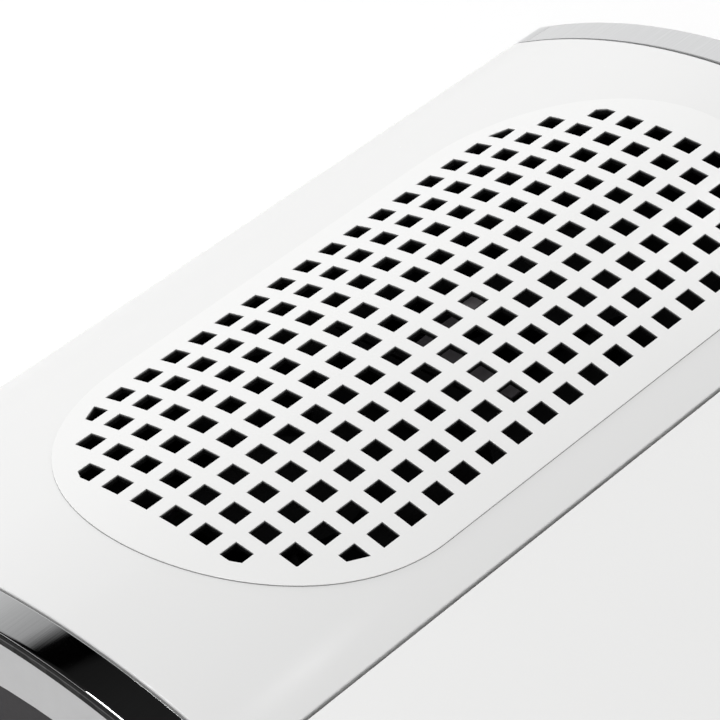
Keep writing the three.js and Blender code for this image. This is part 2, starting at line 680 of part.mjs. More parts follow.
function dripTray() {
  const halfX = SINK.length / 2 + TRAY_MARGIN;
  const halfY = SINK.width / 2 + TRAY_MARGIN;
  const top = trayLow + TRAY_DEPTH;
  const outer = block(-halfX, halfX, ARCH_Y - halfY, ARCH_Y + halfY, trayLow, top);
  const inX = halfX - TANK_WALL;
  const inY = halfY - TANK_WALL;
  const cavity = block(-inX, inX, ARCH_Y - inY, ARCH_Y + inY, trayLow + TANK_WALL, top + 1);
  const spout = rod(SPOUT_RADIUS, TANK_TOP + 0.8, trayLow + 1, 0, ARCH_Y);
  const drain = rod(SPOUT_RADIUS - TANK_WALL, TANK_TOP, top, 0, ARCH_Y);
  return outer.subtract(cavity).add(spout).subtract(drain);
}

// A finned heat sink with its base between z0 and z1 and its fins from there to finEnd.
function finnedSink(z0, z1, finEnd) {
  const halfX = SINK.length / 2;
  const halfY = SINK.width / 2;
  const fins = [];
  const count = Math.floor((SINK.width - SINK.fin) / SINK.pitch);
  const first = ARCH_Y - (count * SINK.pitch + SINK.fin) / 2;
  const low = Math.min(finEnd, z0 + 1);
  const high = Math.max(finEnd, z1 - 1);
  for (let i = 0; i <= count; i++) {
    const y = first + i * SINK.pitch;
    fins.push(block(-halfX, halfX, y, y + SINK.fin, low, high));
  }
  const plate = block(-halfX, halfX, ARCH_Y - halfY, ARCH_Y + halfY, z0, z1);
  const holes = clampPlaces.map((x) => rod(CLAMP.radius + FIT, low - 1, high + 1, x, clampY, 12));
  return plate.add(join(fins)).subtract(join(holes));
}

function insulation() {
  const halfX = SINK.length / 2;
  const halfY = SINK.width / 2;
  const top = moduleLow + MODULE.thick;
  const pad = block(-halfX, halfX, ARCH_Y - halfY, ARCH_Y + halfY, moduleLow, top);
  const half = MODULE.side / 2 + FIT;
  const cuts = both.map(([, sign]) => {
    const x = sign * fanX;
    return block(x - half, x + half, ARCH_Y - half, ARCH_Y + half, moduleLow - 1, top + 1);
  });
  const holes = clampPlaces.map((x) => rod(CLAMP.radius + FIT, moduleLow - 1, hotBase, x, clampY, 12));
  return pad.subtract(join(cuts)).subtract(join(holes));
}

add("machinery_deck", machineryDeck(), black);
add("drip_tray", dripTray(), ceramic);
add("cold_sink", finnedSink(coldBase, coldBase + SINK.base, coldFinLow), aluminium);
add("hot_sink", finnedSink(hotBase, hotBase + SINK.base, hotBase + SINK.base + SINK.hotFin), aluminium);
add("insulation_pad", insulation(), foam);
clampPlaces.forEach((x, i) => {
  const under = hotBase + SINK.base;
  const shank = rod(CLAMP.radius, coldBase - CLAMP.tip, under + 1, x, clampY, 12);
  const head = rod(CLAMP.head, under + FIT, under + CLAMP.headHeight, x, clampY, 16);
  add(`clamp_screw_${i + 1}`, shank.add(head), steel);
});
for (const [side, sign] of both) {
  const half = MODULE.side / 2;
  const x = sign * fanX;
  const top = moduleLow + MODULE.thick;
  const tile = block(x - half, x + half, ARCH_Y - half, ARCH_Y + half, moduleLow, top);
  add(`peltier_module_${side}`, tile, ceramic);
}

function levelSwitch() {
  const reach = LEVEL_SWITCH.length / 2;
  const half = LEVEL_SWITCH.width / 2;
  const low = deckTop + FIT;
  const top = low + LEVEL_SWITCH.height;
  return block(FLOAT.x - reach, FLOAT.x + reach, switchY - half, switchY + half, low, top);
}
add("level_switch", levelSwitch(), black);

// ---------------------------------------------------------------- fans

// Two screws hold each fan, at opposite corners.
const fanScrewPlaces = both.flatMap(([, sign]) =>
  [-1, 1].map((corner) => [sign * fanX + corner * fanHole, ARCH_Y + corner * fanHole]),
);

function fanPlate() {
  const y0 = ARCH_Y - FAN_SIZE / 2 - FAN_PLATE_MARGIN;
  const sheet = block(-chassisX, chassisX, y0, baseBack - FIT, fanPlateLow, fanPlateLow + DECK_THICK);
  const mouths = both.map(([, sign]) => rod(fanBore, fanPlateLow - 1, fanLow, sign * fanX, ARCH_Y, 36));
  const holes = fanScrewPlaces.map(([x, y]) => rod(FAN_SCREW.hole, fanPlateLow - 1, fanLow, x, y, 12));
  return sheet.subtract(join(mouths)).subtract(join(holes));
}

// Built round the fan's own axis, standing on z = 0.
function fanFrame() {
  const half = FAN_SIZE / 2;
  const lower = block(-half, half, -half, half, 0, FAN_FLANGE);
  const upper = block(-half, half, -half, half, FAN_THICK - FAN_FLANGE, FAN_THICK);
  const duct = rod(half - FIT, 0.5, FAN_THICK - 0.5, 0, 0, 36);
  const bore = rod(fanBore, -1, FAN_THICK + 1, 0, 0, 36);
  const struts = [0, 1, 2, 3].map((i) => {
    const bar = new THREE.BoxGeometry(fanBore + 1, FAN_STRUT.width, FAN_STRUT.thick);
    bar.translate((fanBore + 1) / 2, 0, FAN_STRUT.thick / 2);
    return solid(bar.rotateZ((i * Math.PI) / 2 + FAN_STRUT.turn));
  });
  const motor = rod(HUB_RADIUS, 0, FAN_MOTOR_THICK, 0, 0, 24);
  const holes = [-1, 1].flatMap((sx) =>
    [-1, 1].map((sy) => rod(FAN_SCREW.hole, -1, FAN_THICK + 1, sx * fanHole, sy * fanHole, 12)),
  );
  return lower.add(upper).add(duct).subtract(bore).add(join(struts)).add(motor).subtract(join(holes));
}

function impeller() {
  const low = IMPELLER_GAP.below;
  const high = FAN_THICK - IMPELLER_GAP.above;
  const tip = fanBore - BLADE.tipGap;
  const middle = (low + high) / 2;
  const pitch = THREE.MathUtils.degToRad(BLADE.angle);
  const sweep = rod(tip, low + 0.6, high - 0.6, 0, 0, 28);
  const blades = [];
  for (let i = 0; i < BLADES; i++) {
    const blade = new THREE.BoxGeometry(tip, BLADE.thick, BLADE.chord);
    blade.rotateX(pitch).translate(tip / 2 + BLADE.lead, 0, middle);
    blades.push(solid(blade.rotateZ((i * 2 * Math.PI) / BLADES)));
  }
  return join(blades).intersect(sweep).add(rod(HUB_RADIUS, low, high, 0, 0, 24));
}

for (const [side, sign] of both) {
  const fan = group(sign * fanX, ARCH_Y, fanLow);
  add(`fan_frame_${side}`, fanFrame(), black, fan);
  add(`fan_impeller_${side}`, impeller(), black, fan);
}
add("fan_plate", fanPlate(), black);
fanScrewPlaces.forEach(([x, y], i) => {
  const shank = rod(FAN_SCREW.radius, fanPlateLow, fanTop + 1, x, y, 12);
  const seat = fanTop + FIT;
  const head = rod(FAN_SCREW.head, seat, seat + FAN_SCREW.headHeight, x, y, 16);
  add(`fan_screw_${i + 1}`, shank.add(head), steel);
});

// An angled steel strip across the inner corner of the right fan carries the humidity sensor.
const bracketLow = fanTop + FIT;
const bracketBack = ARCH_Y + BRACKET.back;

function sensorBracket() {
  const top = bracketLow + BRACKET.thick;
  const { start, width, reachX } = BRACKET;
  const leg = block(start, start + width, ARCH_Y + BRACKET.front, bracketBack, bracketLow, top);
  return leg.add(block(start, reachX, bracketBack - width, bracketBack, bracketLow, top));
}

function humiditySensor() {
  const y = bracketBack - BRACKET.width / 2;
  const half = SENSOR.width / 2;
  const low = bracketLow + BRACKET.thick + FIT;
  return block(SENSOR.x, SENSOR.x + SENSOR.length, y - half, y + half, low, low + SENSOR.height);
}
add("sensor_bracket", sensorBracket(), steel);
add("humidity_sensor", humiditySensor(), ceramic);

export default dehumidifier;
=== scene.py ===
"""Looks for a low table-top dehumidifier: smooth mouldings, perforated outlet, chrome trims and a studio."""

import itertools
import json
import math

import bmesh
import bpy
from bpy.props import FloatProperty, FloatVectorProperty, PointerProperty
from mathutils import Matrix, Vector


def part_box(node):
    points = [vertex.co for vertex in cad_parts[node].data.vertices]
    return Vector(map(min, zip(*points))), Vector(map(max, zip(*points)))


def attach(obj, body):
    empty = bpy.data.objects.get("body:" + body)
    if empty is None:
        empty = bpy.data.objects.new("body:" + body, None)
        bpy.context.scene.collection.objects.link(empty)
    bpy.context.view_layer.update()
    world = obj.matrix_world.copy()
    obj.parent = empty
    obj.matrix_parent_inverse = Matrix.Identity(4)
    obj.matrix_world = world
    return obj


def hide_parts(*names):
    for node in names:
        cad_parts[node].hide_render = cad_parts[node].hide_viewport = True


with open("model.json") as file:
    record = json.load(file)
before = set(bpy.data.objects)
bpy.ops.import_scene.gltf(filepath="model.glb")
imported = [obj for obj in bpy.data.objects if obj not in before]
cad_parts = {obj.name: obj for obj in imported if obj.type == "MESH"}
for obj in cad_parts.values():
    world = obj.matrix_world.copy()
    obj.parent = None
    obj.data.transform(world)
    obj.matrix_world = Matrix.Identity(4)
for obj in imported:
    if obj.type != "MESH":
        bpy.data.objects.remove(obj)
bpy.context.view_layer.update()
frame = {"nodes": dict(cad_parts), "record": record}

bl_info = {
    "name": "Table-top dehumidifier",
    "version": (1, 0, 0),
    "blender": (4, 5, 0),
    "location": "View3D > Sidebar > Dehumidifier",
    "description": "Builds the mouldings, metalwork, fans and finishes round the packed frame",
    "category": "Object",
}

MM = 0.001
TINY = 1e-6

# How finely the rounds of the side outline are cut.
ARCH_STEPS = 44
BACK_STEPS = 8
FRONT_STEPS = 16

# Housing details.
SEAT_GAP = 0.3 * MM
KEY_GAP = 0.4 * MM
TONGUE = {"front": -6 * MM, "back": 8 * MM, "thick": 1.5 * MM, "gap": 0.3 * MM, "web_back": -2 * MM}
VENT_PAD = {"half": 46 * MM, "thick": 2.3 * MM, "gap": 0.2 * MM, "lift": 0.4 * MM, "top": 91 * MM}

# Outlet insert: each step inwards over the rim as (width, rise), and the tabs underneath.
RIM_STEPS = ((0.10, 0.06), (0.25, 0.18), (0.45, 0.17), (0.55, 0.08), (0.50, -0.07), (0.50, -0.12))
STADIUM_STEPS = 120
FIELD_DROP = 0.4 * MM
TAB = {"half": 5 * MM, "thick": 1.2 * MM, "low": -6 * MM, "high": -1 * MM, "gap": 1.2 * MM}
BEND_EVERY = 4 * MM

# End trims: the grey line across the outer lip, a painted highlight, lies between these depths.
PAINTED_LINE_DEPTHS = (-1.5 * MM, -1.15 * MM)

# Side doors: one louvre blade.
LOUVRE = {"half": 1.5 * MM, "half_thick": 0.4 * MM, "margin": 3 * MM, "rise": 3.4 * MM, "pitch": 7 * MM,
          "first": 3.5 * MM, "back": 0.4 * MM, "tilt": math.radians(38)}

# Fans.
FAN = {"bore_wall": 2.5 * MM, "flange": 4 * MM, "corner": 4.5 * MM, "screw": 2.2 * MM, "screw_in": 4.75 * MM,
       "strut_from": 15 * MM, "strut_half": 1.4 * MM, "strut_thick": 2.4 * MM, "strut_turn": 0.35}
HUB_RADIUS = 18.5 * MM
BLADES = 7
BLADE_THICK = 1.1 * MM

# Studio: each light's place, aim, size in metres and power in watts.
FLOOR_HALF = 1.0
LIGHTS = {
    "softbox_top": ((0.0, 0.1, 1.5), (0, 0, 0), (0.9, 0.7), 13.3),
    "lamp": ((0.526, 0.033, 1.17), (-0.09, -0.01, 0.142), (0.045, 0.04), 0.02),
    "edge_lamp": ((1.0, 0.09, 1.05), (-0.115, 0, 0.147), (0.8, 0.06), 1.2),
    "softbox_back": ((-0.3, 1.6, 0.9), (0, 0, 0.1), (1.6, 0.6), 10),
}
# Brightness of the surroundings against height: pale low down, a dark strip, and dim overhead.
SURROUNDINGS = [
    (0.0, 1.0), (0.45, 1.0), (0.60, 0.66), (0.70, 0.42),
    (0.733, 0.0004), (0.775, 0.0004), (0.79, 0.011), (1.0, 0.028),
]
SENSOR_WIDTH = 36
NEAR_CLIP = 0.01


# ---------------- settings


def length(name, default, description):
    """A size in metres that a user can change."""
    return FloatProperty(
        name=name, description=description, default=default, min=0, unit="LENGTH", precision=5
    )


def colour(name, default, description):
    """A finish's base colour, which a user can change."""
    return FloatVectorProperty(
        name=name, description=description, default=default, subtype="COLOR", size=3, min=0, max=1
    )


class HousingSizes(bpy.types.PropertyGroup):
    arch_radius: length("Arch radius", 152 * MM, "Radius of the top shell across its short side")
    seam_y: length("Seam", 22.2 * MM, "How far in front of the middle the arch meets the deck")
    deck_slope: FloatProperty(
        name="Deck slope", description="Fall of the front deck", default=math.radians(13), unit="ROTATION"
    )
    front_round: length("Front round", 22 * MM, "Radius between the deck and the front")
    back_round: length("Back round", 4 * MM, "Radius between the arch and the back")
    wall: length("Wall", 2.4 * MM, "Thickness of the covers")
    joint: length("Joint", 0.6 * MM, "Gap between two covers")
    edge: length("Edge", 0.35 * MM, "Rounding on the edges of the covers")


class OutletSizes(bpy.types.PropertyGroup):
    pitch: length("Hole pitch", 8 * MM, "Spacing of the square holes")
    hole: length("Hole side", 4.6 * MM, "Side of a square hole")
    border: length("Border", 4.7 * MM, "Solid border round the holes")
    proud: length("Proud", 0.5 * MM, "How far the insert stands above the shell")
    thick: length("Thickness", 1.8 * MM, "Thickness of the insert")
    ledge: length("Ledge", 3.5 * MM, "Width of the ledge under the insert")
    gap: length("Gap", 0.02 * MM, "Visible gap round the insert")
    mouth_round: length("Mouth round", 0.02 * MM, "Rounding of the shell where it meets the insert")
    hole_round: length("Hole round", 0.14 * MM, "Rounding of the holes' edges")


class TrimSizes(bpy.types.PropertyGroup):
    thick: length("Trim thickness", 1.5 * MM, "Thickness of the chrome band")
    lip: length("Lip thickness", 1.0 * MM, "Thickness of the outer lip")
    drop: length("Lip drop", 3.0 * MM, "Depth of the outer lip")
    rounding: length("Rounding", 0.45 * MM, "Rounding of the outer edge")


class FinishColours(bpy.types.PropertyGroup):
    shell: colour("Shell", (0.74, 0.74, 0.737), "Gloss white")
    panel: colour("Panel", (0.77, 0.77, 0.766), "Satin white")
    frame: colour("Frame", (0.56, 0.56, 0.563), "Silver-grey end frame")
    louvre: colour("Louvre", (0.018, 0.0155, 0.018), "Charcoal side door")
    fan: colour("Fan", (0.0025, 0.0025, 0.0028), "Black fan plastic")
    water_tank: colour("Tank", (0.45, 0.55, 0.60), "Smoked tank plastic")


class StudioSizes(bpy.types.PropertyGroup):
    azimuth: FloatProperty(
        name="Azimuth", description="Camera heading", default=math.radians(-45.70), unit="ROTATION"
    )
    elevation: FloatProperty(
        name="Elevation", description="Camera height angle", default=math.radians(37.19), unit="ROTATION"
    )
    roll: FloatProperty(name="Roll", description="Camera roll", default=math.radians(-3.94), unit="ROTATION")
    lens: FloatProperty(name="Lens", description="Focal length in millimetres", default=175, min=1)
    camera_place: FloatVectorProperty(
        name="Camera", description="Camera position", default=(-0.4234, -0.3614, 0.5786),
        subtype="TRANSLATION",
    )
    fill: FloatProperty(name="Fill", description="Strength of the pale surroundings", default=1.05, min=0)


# ---------------- side outline


class Outline:
    """The housing's side outline as a path. A length along it, from the seam and positive towards the
    back, gives the point and the outward normal in the Y-Z plane."""

    def __init__(self, sizes):
        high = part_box("top_shell")[1]
        insert_low, insert_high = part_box("outlet_grille")
        self.radius = sizes.arch_radius
        self.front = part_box("front_cover")[0][1]
        self.back = high[1]
        self.shell_end = high[0]
        self.arch_y = (insert_low[1] + insert_high[1]) / 2
        self.outlet_x = (insert_low[0] + insert_high[0]) / 2
        self.base = high[2] - self.radius
        self.slope = sizes.deck_slope
        self.front_round = sizes.front_round
        self.back_round = sizes.back_round

        self.seam_angle = math.asin((self.arch_y + sizes.seam_y) / self.radius)
        self.seam = Vector((-sizes.seam_y, self.base + self.radius * math.cos(self.seam_angle)))
        reach = self.radius - self.back_round
        self.end_angle = math.asin((self.back - self.back_round - self.arch_y) / reach)
        self.back_centre = Vector((self.back - self.back_round, self.base + reach * math.cos(self.end_angle)))
        self.arch_length = self.radius * (self.seam_angle + self.end_angle)
        self.back_length = self.back_round * (math.pi / 2 - self.end_angle)
        self.crest = self.radius * self.seam_angle

        centre_y = self.front + self.front_round
        deck_z = self.seam.y + (centre_y - self.seam.x) * math.tan(self.slope)
        self.front_centre = Vector((centre_y, deck_z - self.front_round / math.cos(self.slope)))
        touch = self.front_centre + self.front_round * self.deck_normal
        self.deck_length = (self.seam - touch).length
        self.front_length = self.front_round * (math.pi / 2 - self.slope)

    @property
    def deck_normal(self):
        return Vector((-math.sin(self.slope), math.cos(self.slope)))

    def place(self, along):
        """The point and the outward normal at a length along the path."""
        if abs(along) < TINY:
            arch = Vector((-math.sin(self.seam_angle), math.cos(self.seam_angle)))
            return self.seam, (arch + self.deck_normal).normalized()
        if along > 0:
            return self.place_behind(along)
        return self.place_ahead(-along)

    def place_behind(self, along):
        if along <= self.arch_length:
            angle = along / self.radius - self.seam_angle
            normal = Vector((math.sin(angle), math.cos(angle)))
            return Vector((self.arch_y, self.base)) + self.radius * normal, normal
        along -= self.arch_length
        if along <= self.back_length:
            angle = self.end_angle + along / self.back_round
            normal = Vector((math.sin(angle), math.cos(angle)))
            return self.back_centre + self.back_round * normal, normal
        return Vector((self.back, self.back_centre.y - (along - self.back_length))), Vector((1, 0))

    def place_ahead(self, along):
        if along <= self.deck_length:
            fall = Vector((math.cos(self.slope), math.sin(self.slope)))
            return self.seam - along * fall, self.deck_normal
        along -= self.deck_length
        if along <= self.front_length:
            angle = self.slope + along / self.front_round
            normal = Vector((-math.sin(angle), math.cos(angle)))
            return self.front_centre + self.front_round * normal, normal
        return Vector((self.front, self.front_centre.y - (along - self.front_length))), Vector((-1, 0))

    def down_back(self, height):
        return self.arch_length + self.back_length + self.back_centre.y - height

    def down_front(self, height):
        return -(self.deck_length + self.front_length + self.front_centre.y - height)

    def stations(self, low, high):
        """Where a sheet has to be cut across so that it can follow the rounds."""
        deck_end = -self.deck_length
        arcs = [
            (0, self.arch_length, ARCH_STEPS),
            (self.arch_length, self.arch_length + self.back_length, BACK_STEPS),
            (deck_end - self.front_length, deck_end, FRONT_STEPS),
        ]
        cuts = [a + (b - a) * i / steps for a, b, steps in arcs for i in range(steps + 1)]
        return sorted(c for c in set(cuts) if low + TINY < c < high - TINY)

    def over_arch(self, y):
        """Length along the path of the point of the arch at that distance behind its crest."""
        return self.crest + self.radius * math.asin(y / self.radius)


def sizes():
    return bpy.context.scene.dehumidifier_housing


def outline():
    return Outline(sizes())


# ---------------- mesh tools


def new_object(name, data):
    made = bpy.data.objects.new(name, data)
    bpy.context.scene.collection.objects.link(made)
    return made


def new_mesh(name, bm):
    """Turns a bmesh into a mesh."""
    mesh = bpy.data.meshes.new(name)
    bm.to_mesh(mesh)
    bm.free()
    return mesh


def move(bm, place, verts=None):
    bmesh.ops.translate(bm, vec=place, verts=verts or bm.verts[:])


def turn(bm, angle, axis, verts=None):
    bmesh.ops.rotate(bm, verts=verts or bm.verts[:], matrix=Matrix.Rotation(angle, 3, axis))


def face_outwards(bm):
    bmesh.ops.recalc_face_normals(bm, faces=bm.faces[:])


def cut_all(bm, place, normal):
    """Cuts the whole mesh by a plane."""
    everything = bm.verts[:] + bm.edges[:] + bm.faces[:]
    bmesh.ops.bisect_plane(bm, geom=everything, dist=TINY, plane_co=place, plane_no=normal)


def cut_across(bm, stations):
    for station in stations:
        cut_all(bm, (0, station, 0), (0, 1, 0))


def split_faces(bm, faces, where, normal):
    """Cuts the faces by a plane; returns all the pieces."""
    edges = {e for f in faces for e in f.edges}
    verts = {v for f in faces for v in f.verts}
    geom = list(faces) + list(edges) + list(verts)
    return faces_in(bmesh.ops.bisect_plane(bm, geom=geom, dist=TINY, plane_co=where, plane_no=normal)["geom"])


def verts_in(geom):
    return [g for g in geom if isinstance(g, bmesh.types.BMVert)]


def faces_in(geom):
    return [g for g in geom if isinstance(g, bmesh.types.BMFace)]


def roll_up(bm, path):
    """A flat sheet, with X across, Y along the path and Z outwards, wrapped onto the side outline."""
    for vert in bm.verts:
        x, along, out = vert.co
        point, normal = path.place(along)
        spot = point + out * normal
        vert.co = (x, spot.x, spot.y)


def rectangle(bm, x0, x1, y0, y1, z=0.0):
    """A rectangle as one face; returns the face."""
    made = bmesh.ops.create_grid(bm, x_segments=1, y_segments=1, size=0.5)["verts"]
    bmesh.ops.scale(bm, vec=(x1 - x0, y1 - y0, 1), verts=made)
    move(bm, ((x0 + x1) / 2, (y0 + y1) / 2, z), made)
    return made[0].link_faces[0]


def circle(bm, radius, x=0.0, y=0.0, z=0.0, steps=48, filled=False):
    made = bmesh.ops.create_circle(bm, cap_ends=filled, segments=steps, radius=radius)["verts"]
    turn(bm, math.pi / steps, "Z", made)
    move(bm, (x, y, z), made)
    return made


def pull_apart(verts, reach):
    """Turns a circle on the Z axis into a stadium along X."""
    for vert in verts:
        vert.co.x += math.copysign(reach, vert.co.x)


def rims(verts):
    """The edges that run between the given vertices."""
    inside = set(verts)
    return list({e for v in verts for e in v.link_edges if set(e.verts) <= inside})


def fill(bm, loops):
    """Fills between the outer loop and the loops of its openings, all lying flat."""
    edges = [edge for loop in loops for edge in rims(loop)]
    made = bmesh.ops.triangle_fill(bm, use_beauty=True, use_dissolve=False, edges=edges, normal=(0, 0, 1))
    return faces_in(made["geom"])


def thicken(bm, faces, depth):
    """Gives a flat sheet its wall, downwards."""
    made = bmesh.ops.extrude_face_region(bm, geom=faces, use_keep_orig=True)["geom"]
    move(bm, (0, 0, -depth), verts_in(made))
    face_outwards(bm)


def sharp_edges(bm, degrees=30):
    limit = math.radians(degrees)
    return [e for e in bm.edges if len(e.link_faces) == 2 and e.calc_face_angle(0) > limit]


def outer_edges(bm):
    """The sharp edges on the outer face of a flat sheet."""
    return [e for e in sharp_edges(bm) if all(v.co.z > -TINY for v in e.verts)]


def bevel(bm, edges, width, segments=2):
    bmesh.ops.bevel(
        bm, geom=list(edges), offset=width, offset_type="OFFSET", affect="EDGES",
        segments=segments, profile=0.5, material=-1, clamp_overlap=True,
    )


def box(bm, low, high):
    """A block between two corners; returns its vertices."""
    made = bmesh.ops.create_cube(bm, size=1)["verts"]
    size = Vector(high) - Vector(low)
    bmesh.ops.scale(bm, vec=size, verts=made)
    move(bm, (Vector(high) + Vector(low)) / 2, made)
    return made


def lathe(bm, profile, steps=48):
    """A solid of revolution about Z, from (radius, height) points that start and end on the axis."""
    verts = [bm.verts.new((radius, 0, height)) for radius, height in profile]
    edges = [bm.edges.new(pair) for pair in zip(verts, verts[1:])]
    bmesh.ops.spin(
        bm, geom=verts + edges, cent=(0, 0, 0), axis=(0, 0, 1), angle=math.tau, steps=steps, use_merge=True
    )
    bmesh.ops.remove_doubles(bm, verts=bm.verts[:], dist=TINY)
    face_outwards(bm)


def finish_mesh(name, bm, material, body, stands_for=(), angle=30):
    """Makes the piece's object, with smooth shading broken at its sharp edges."""
    for face in bm.faces:
        face.smooth = True
    limit = math.radians(angle)
    for edge in bm.edges:
        edge.smooth = edge.calc_face_angle(0) < limit
    mesh = new_mesh(name, bm)
    piece = new_object(name, mesh)
    mesh.materials.append(material)
    shading = piece.modifiers.new("even_shading", "WEIGHTED_NORMAL")
    shading.keep_sharp = True
    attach(piece, body)
    if stands_for:
        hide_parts(*stands_for)
    return piece


BODY_OF = {node: body for body, nodes in frame["record"]["behaviour"]["bodies"].items() for node in nodes}


def corners(node):
    """The low and high corners of a CAD node's box."""
    low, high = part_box(node)
    return Vector(low), Vector(high)


def merged_copy(node):
    """A CAD node's own shape with its triangles joined into flat faces."""
    bm = bmesh.new()
    bm.from_mesh(frame["nodes"][node].data)
    bmesh.ops.remove_doubles(bm, verts=bm.verts[:], dist=TINY)
    bmesh.ops.dissolve_limit(
        bm, angle_limit=math.radians(1), use_dissolve_boundaries=False, verts=bm.verts[:], edges=bm.edges[:]
    )
    return bm


def refine(node, material, width=0.3 * MM, segments=2):
    """A CAD node whose shape is right, with its edges rounded."""
    bm = merged_copy(node)
    bevel(bm, sharp_edges(bm), width, segments)
    finish_mesh(f"{node}_moulded", bm, material, BODY_OF[node], [node])


def mirrored(bm):
    """Turns a piece made for the right end into the left one."""
    bmesh.ops.scale(bm, vec=(-1, 1, 1), verts=bm.verts[:])
    bmesh.ops.reverse_faces(bm, faces=bm.faces[:])


# ---------------- shader tools


class Wire:
    """A shader socket that can be used in sums."""

    def __init__(self, graph, socket):
        self.graph = graph
        self.socket = socket

    def maths(self, operation, first, second):
        return self.graph.add("ShaderNodeMath", {0: first, 1: second}, operation=operation)

    def __add__(self, other):
        return self.maths("ADD", self, other)

    def __radd__(self, other):
        return self.maths("ADD", other, self)

    def __sub__(self, other):
        return self.maths("SUBTRACT", self, other)

    def __mul__(self, other):
        return self.maths("MULTIPLY", self, other)

    def __gt__(self, other):
        return self.maths("GREATER_THAN", self, other)


class Graph:
    """The nodes of one material or world."""

    def __init__(self, tree):
        self.tree = tree
        tree.nodes.clear()

    def add(self, kind, sockets=None, output=0, stops=None, **settings):
        """Adds a node: its settings first, then the values or links of its sockets."""
        node = self.tree.nodes.new(kind)
        for name, value in settings.items():
            setattr(node, name, value)
        for i, (position, value) in enumerate(stops or ()):
            while len(node.color_ramp.elements) <= i:
                node.color_ramp.elements.new(1)
            node.color_ramp.elements[i].position = position
            node.color_ramp.elements[i].color = (value, value, value, 1)
        for key, value in (sockets or {}).items():
            if isinstance(value, Wire):
                self.tree.links.new(value.socket, node.inputs[key])
            else:
                node.inputs[key].default_value = value
        return Wire(self, node.outputs[output]) if node.outputs else None

    def place(self):
        return self.add("ShaderNodeTexCoord", output="Object")

    def stretched(self, scale):
        """Object coordinates, stretched along the axes."""
        return self.add("ShaderNodeMapping", {"Vector": self.place(), "Scale": scale})

    def noise(self, where, scale, detail=3.0, roughness=0.5):
        sockets = {"Vector": where, "Scale": scale, "Detail": detail, "Roughness": roughness}
        return self.add("ShaderNodeTexNoise", sockets)

    def ramp(self, factor, stops):
        return self.add("ShaderNodeValToRGB", {"Fac": factor}, stops=stops)

    def mix(self, factor, first, second):
        return self.add("ShaderNodeMix", {"Factor": factor, 6: first, 7: second}, output=2, data_type="RGBA")

    def maximum(self, first, second):
        return self.add("ShaderNodeMath", {0: first, 1: second}, operation="MAXIMUM")

    def bump(self, height, distance, strength=1.0):
        return self.add("ShaderNodeBump", {"Height": height, "Distance": distance, "Strength": strength})


def rgba(colour_value, shade=1.0):
    return (*(channel * shade for channel in colour_value), 1.0)


MATERIALS = {}


def material(name, build):
    """The material of that name, built once."""
    if name not in MATERIALS:
        made = bpy.data.materials.new(name)
        made.use_nodes = True
        graph = Graph(made.node_tree)
        graph.add("ShaderNodeOutputMaterial", {"Surface": build(graph)})
        MATERIALS[name] = made
    return MATERIALS[name]


def principled(graph, **sockets):
    return graph.add("ShaderNodeBsdfPrincipled", {k.replace("_", " "): v for k, v in sockets.items()})


def colours():
    return bpy.context.scene.dehumidifier_colours


def gloss_white(name="gloss_white_moulding", lift=1.0):
    def build(graph):
        where = graph.place()
        cloud = graph.noise(where, 9, 2)
        dust = graph.ramp(graph.noise(where, 900, 1), [(0.80, 0), (0.84, 1)])
        # A lift above 1 makes a lighter copy of the white, used as a painted highlight.
        tint = graph.mix(cloud, rgba(colours().shell, 0.985 * lift), rgba(colours().shell, 1.01 * lift))
        base = graph.mix(dust * 0.12, tint, rgba((0.42, 0.41, 0.40)))
        rough = 0.10 + graph.noise(where, 60, 3) * 0.05 + dust * 0.2
        peel = graph.bump(graph.noise(where, 260, 2), 0.012 * MM, 0.5)
        return principled(graph, Base_Color=base, Roughness=rough, Normal=peel, IOR=1.49)

    return material(name, build)


def satin_white(name="satin_white_moulding", rough=0.36, grain=0.02):
    def build(graph):
        where = graph.place()
        cloud = graph.noise(where, 12, 2)
        base = graph.mix(cloud, rgba(colours().panel, 0.985), rgba(colours().panel, 1.01))
        uneven = rough + (graph.noise(where, 45, 3) - 0.5) * 0.08
        spark = graph.bump(graph.noise(where, 2600, 2), grain * MM, 0.6)
        return principled(graph, Base_Color=base, Roughness=uneven, Normal=spark, IOR=1.49)

    return material(name, build)


def insert_plastic(path):
    """Satin white on the face; the walls of the holes are painted darker with depth below the surface, down
    to near-black, as painted shade.
    """
    def build(graph):
        where = graph.place()
        cloud = graph.noise(where, 12, 2)
        base = graph.mix(cloud, rgba(colours().panel, 0.985), rgba(colours().panel, 1.01))
        axis = {0: where, 1: (0, path.arch_y, path.base)}
        from_axis = graph.add("ShaderNodeVectorMath", axis, operation="SUBTRACT")
        across = graph.add("ShaderNodeVectorMath", {0: from_axis, 1: (0, 1, 1)}, operation="MULTIPLY")
        distance = graph.add("ShaderNodeVectorMath", {0: across}, output="Value", operation="LENGTH")
        height = distance - path.radius
        # Painted shade: how much of the white shows, falling to near-black deeper down the hole walls.
        painted_depth_shade = graph.ramp(0.5 + height * 600, [(0.26, 0.01), (0.40, 0.08), (0.52, 0.30), (0.66, 0.80)])
        face = height > 0.20 * MM
        base = graph.mix(graph.maximum(painted_depth_shade, face), rgba((0.004, 0.004, 0.004)), base)
        spark = graph.bump(graph.noise(where, 2600, 2), 0.012 * MM, 0.6)
        return principled(
            graph, Base_Color=base, Roughness=0.2 + graph.noise(where, 45, 3) * 0.06, Normal=spark, IOR=1.49
        )

    return material("insert_plastic", build)


def chrome_plate():
    def build(graph):
        waves = graph.noise(graph.stretched((40, 800, 800)), 1, 3)
        lines = graph.noise(graph.stretched((70, 3600, 3600)), 1, 2)
        normal = graph.bump(waves * 0.0022 + lines * 0.0006, MM)
        base = graph.mix(lines, (0.74, 0.745, 0.75, 1), (0.86, 0.865, 0.87, 1))
        return principled(graph, Base_Color=base, Metallic=1.0, Roughness=0.02 + waves * 0.03, Normal=normal)

    return material("bright_chrome", build)


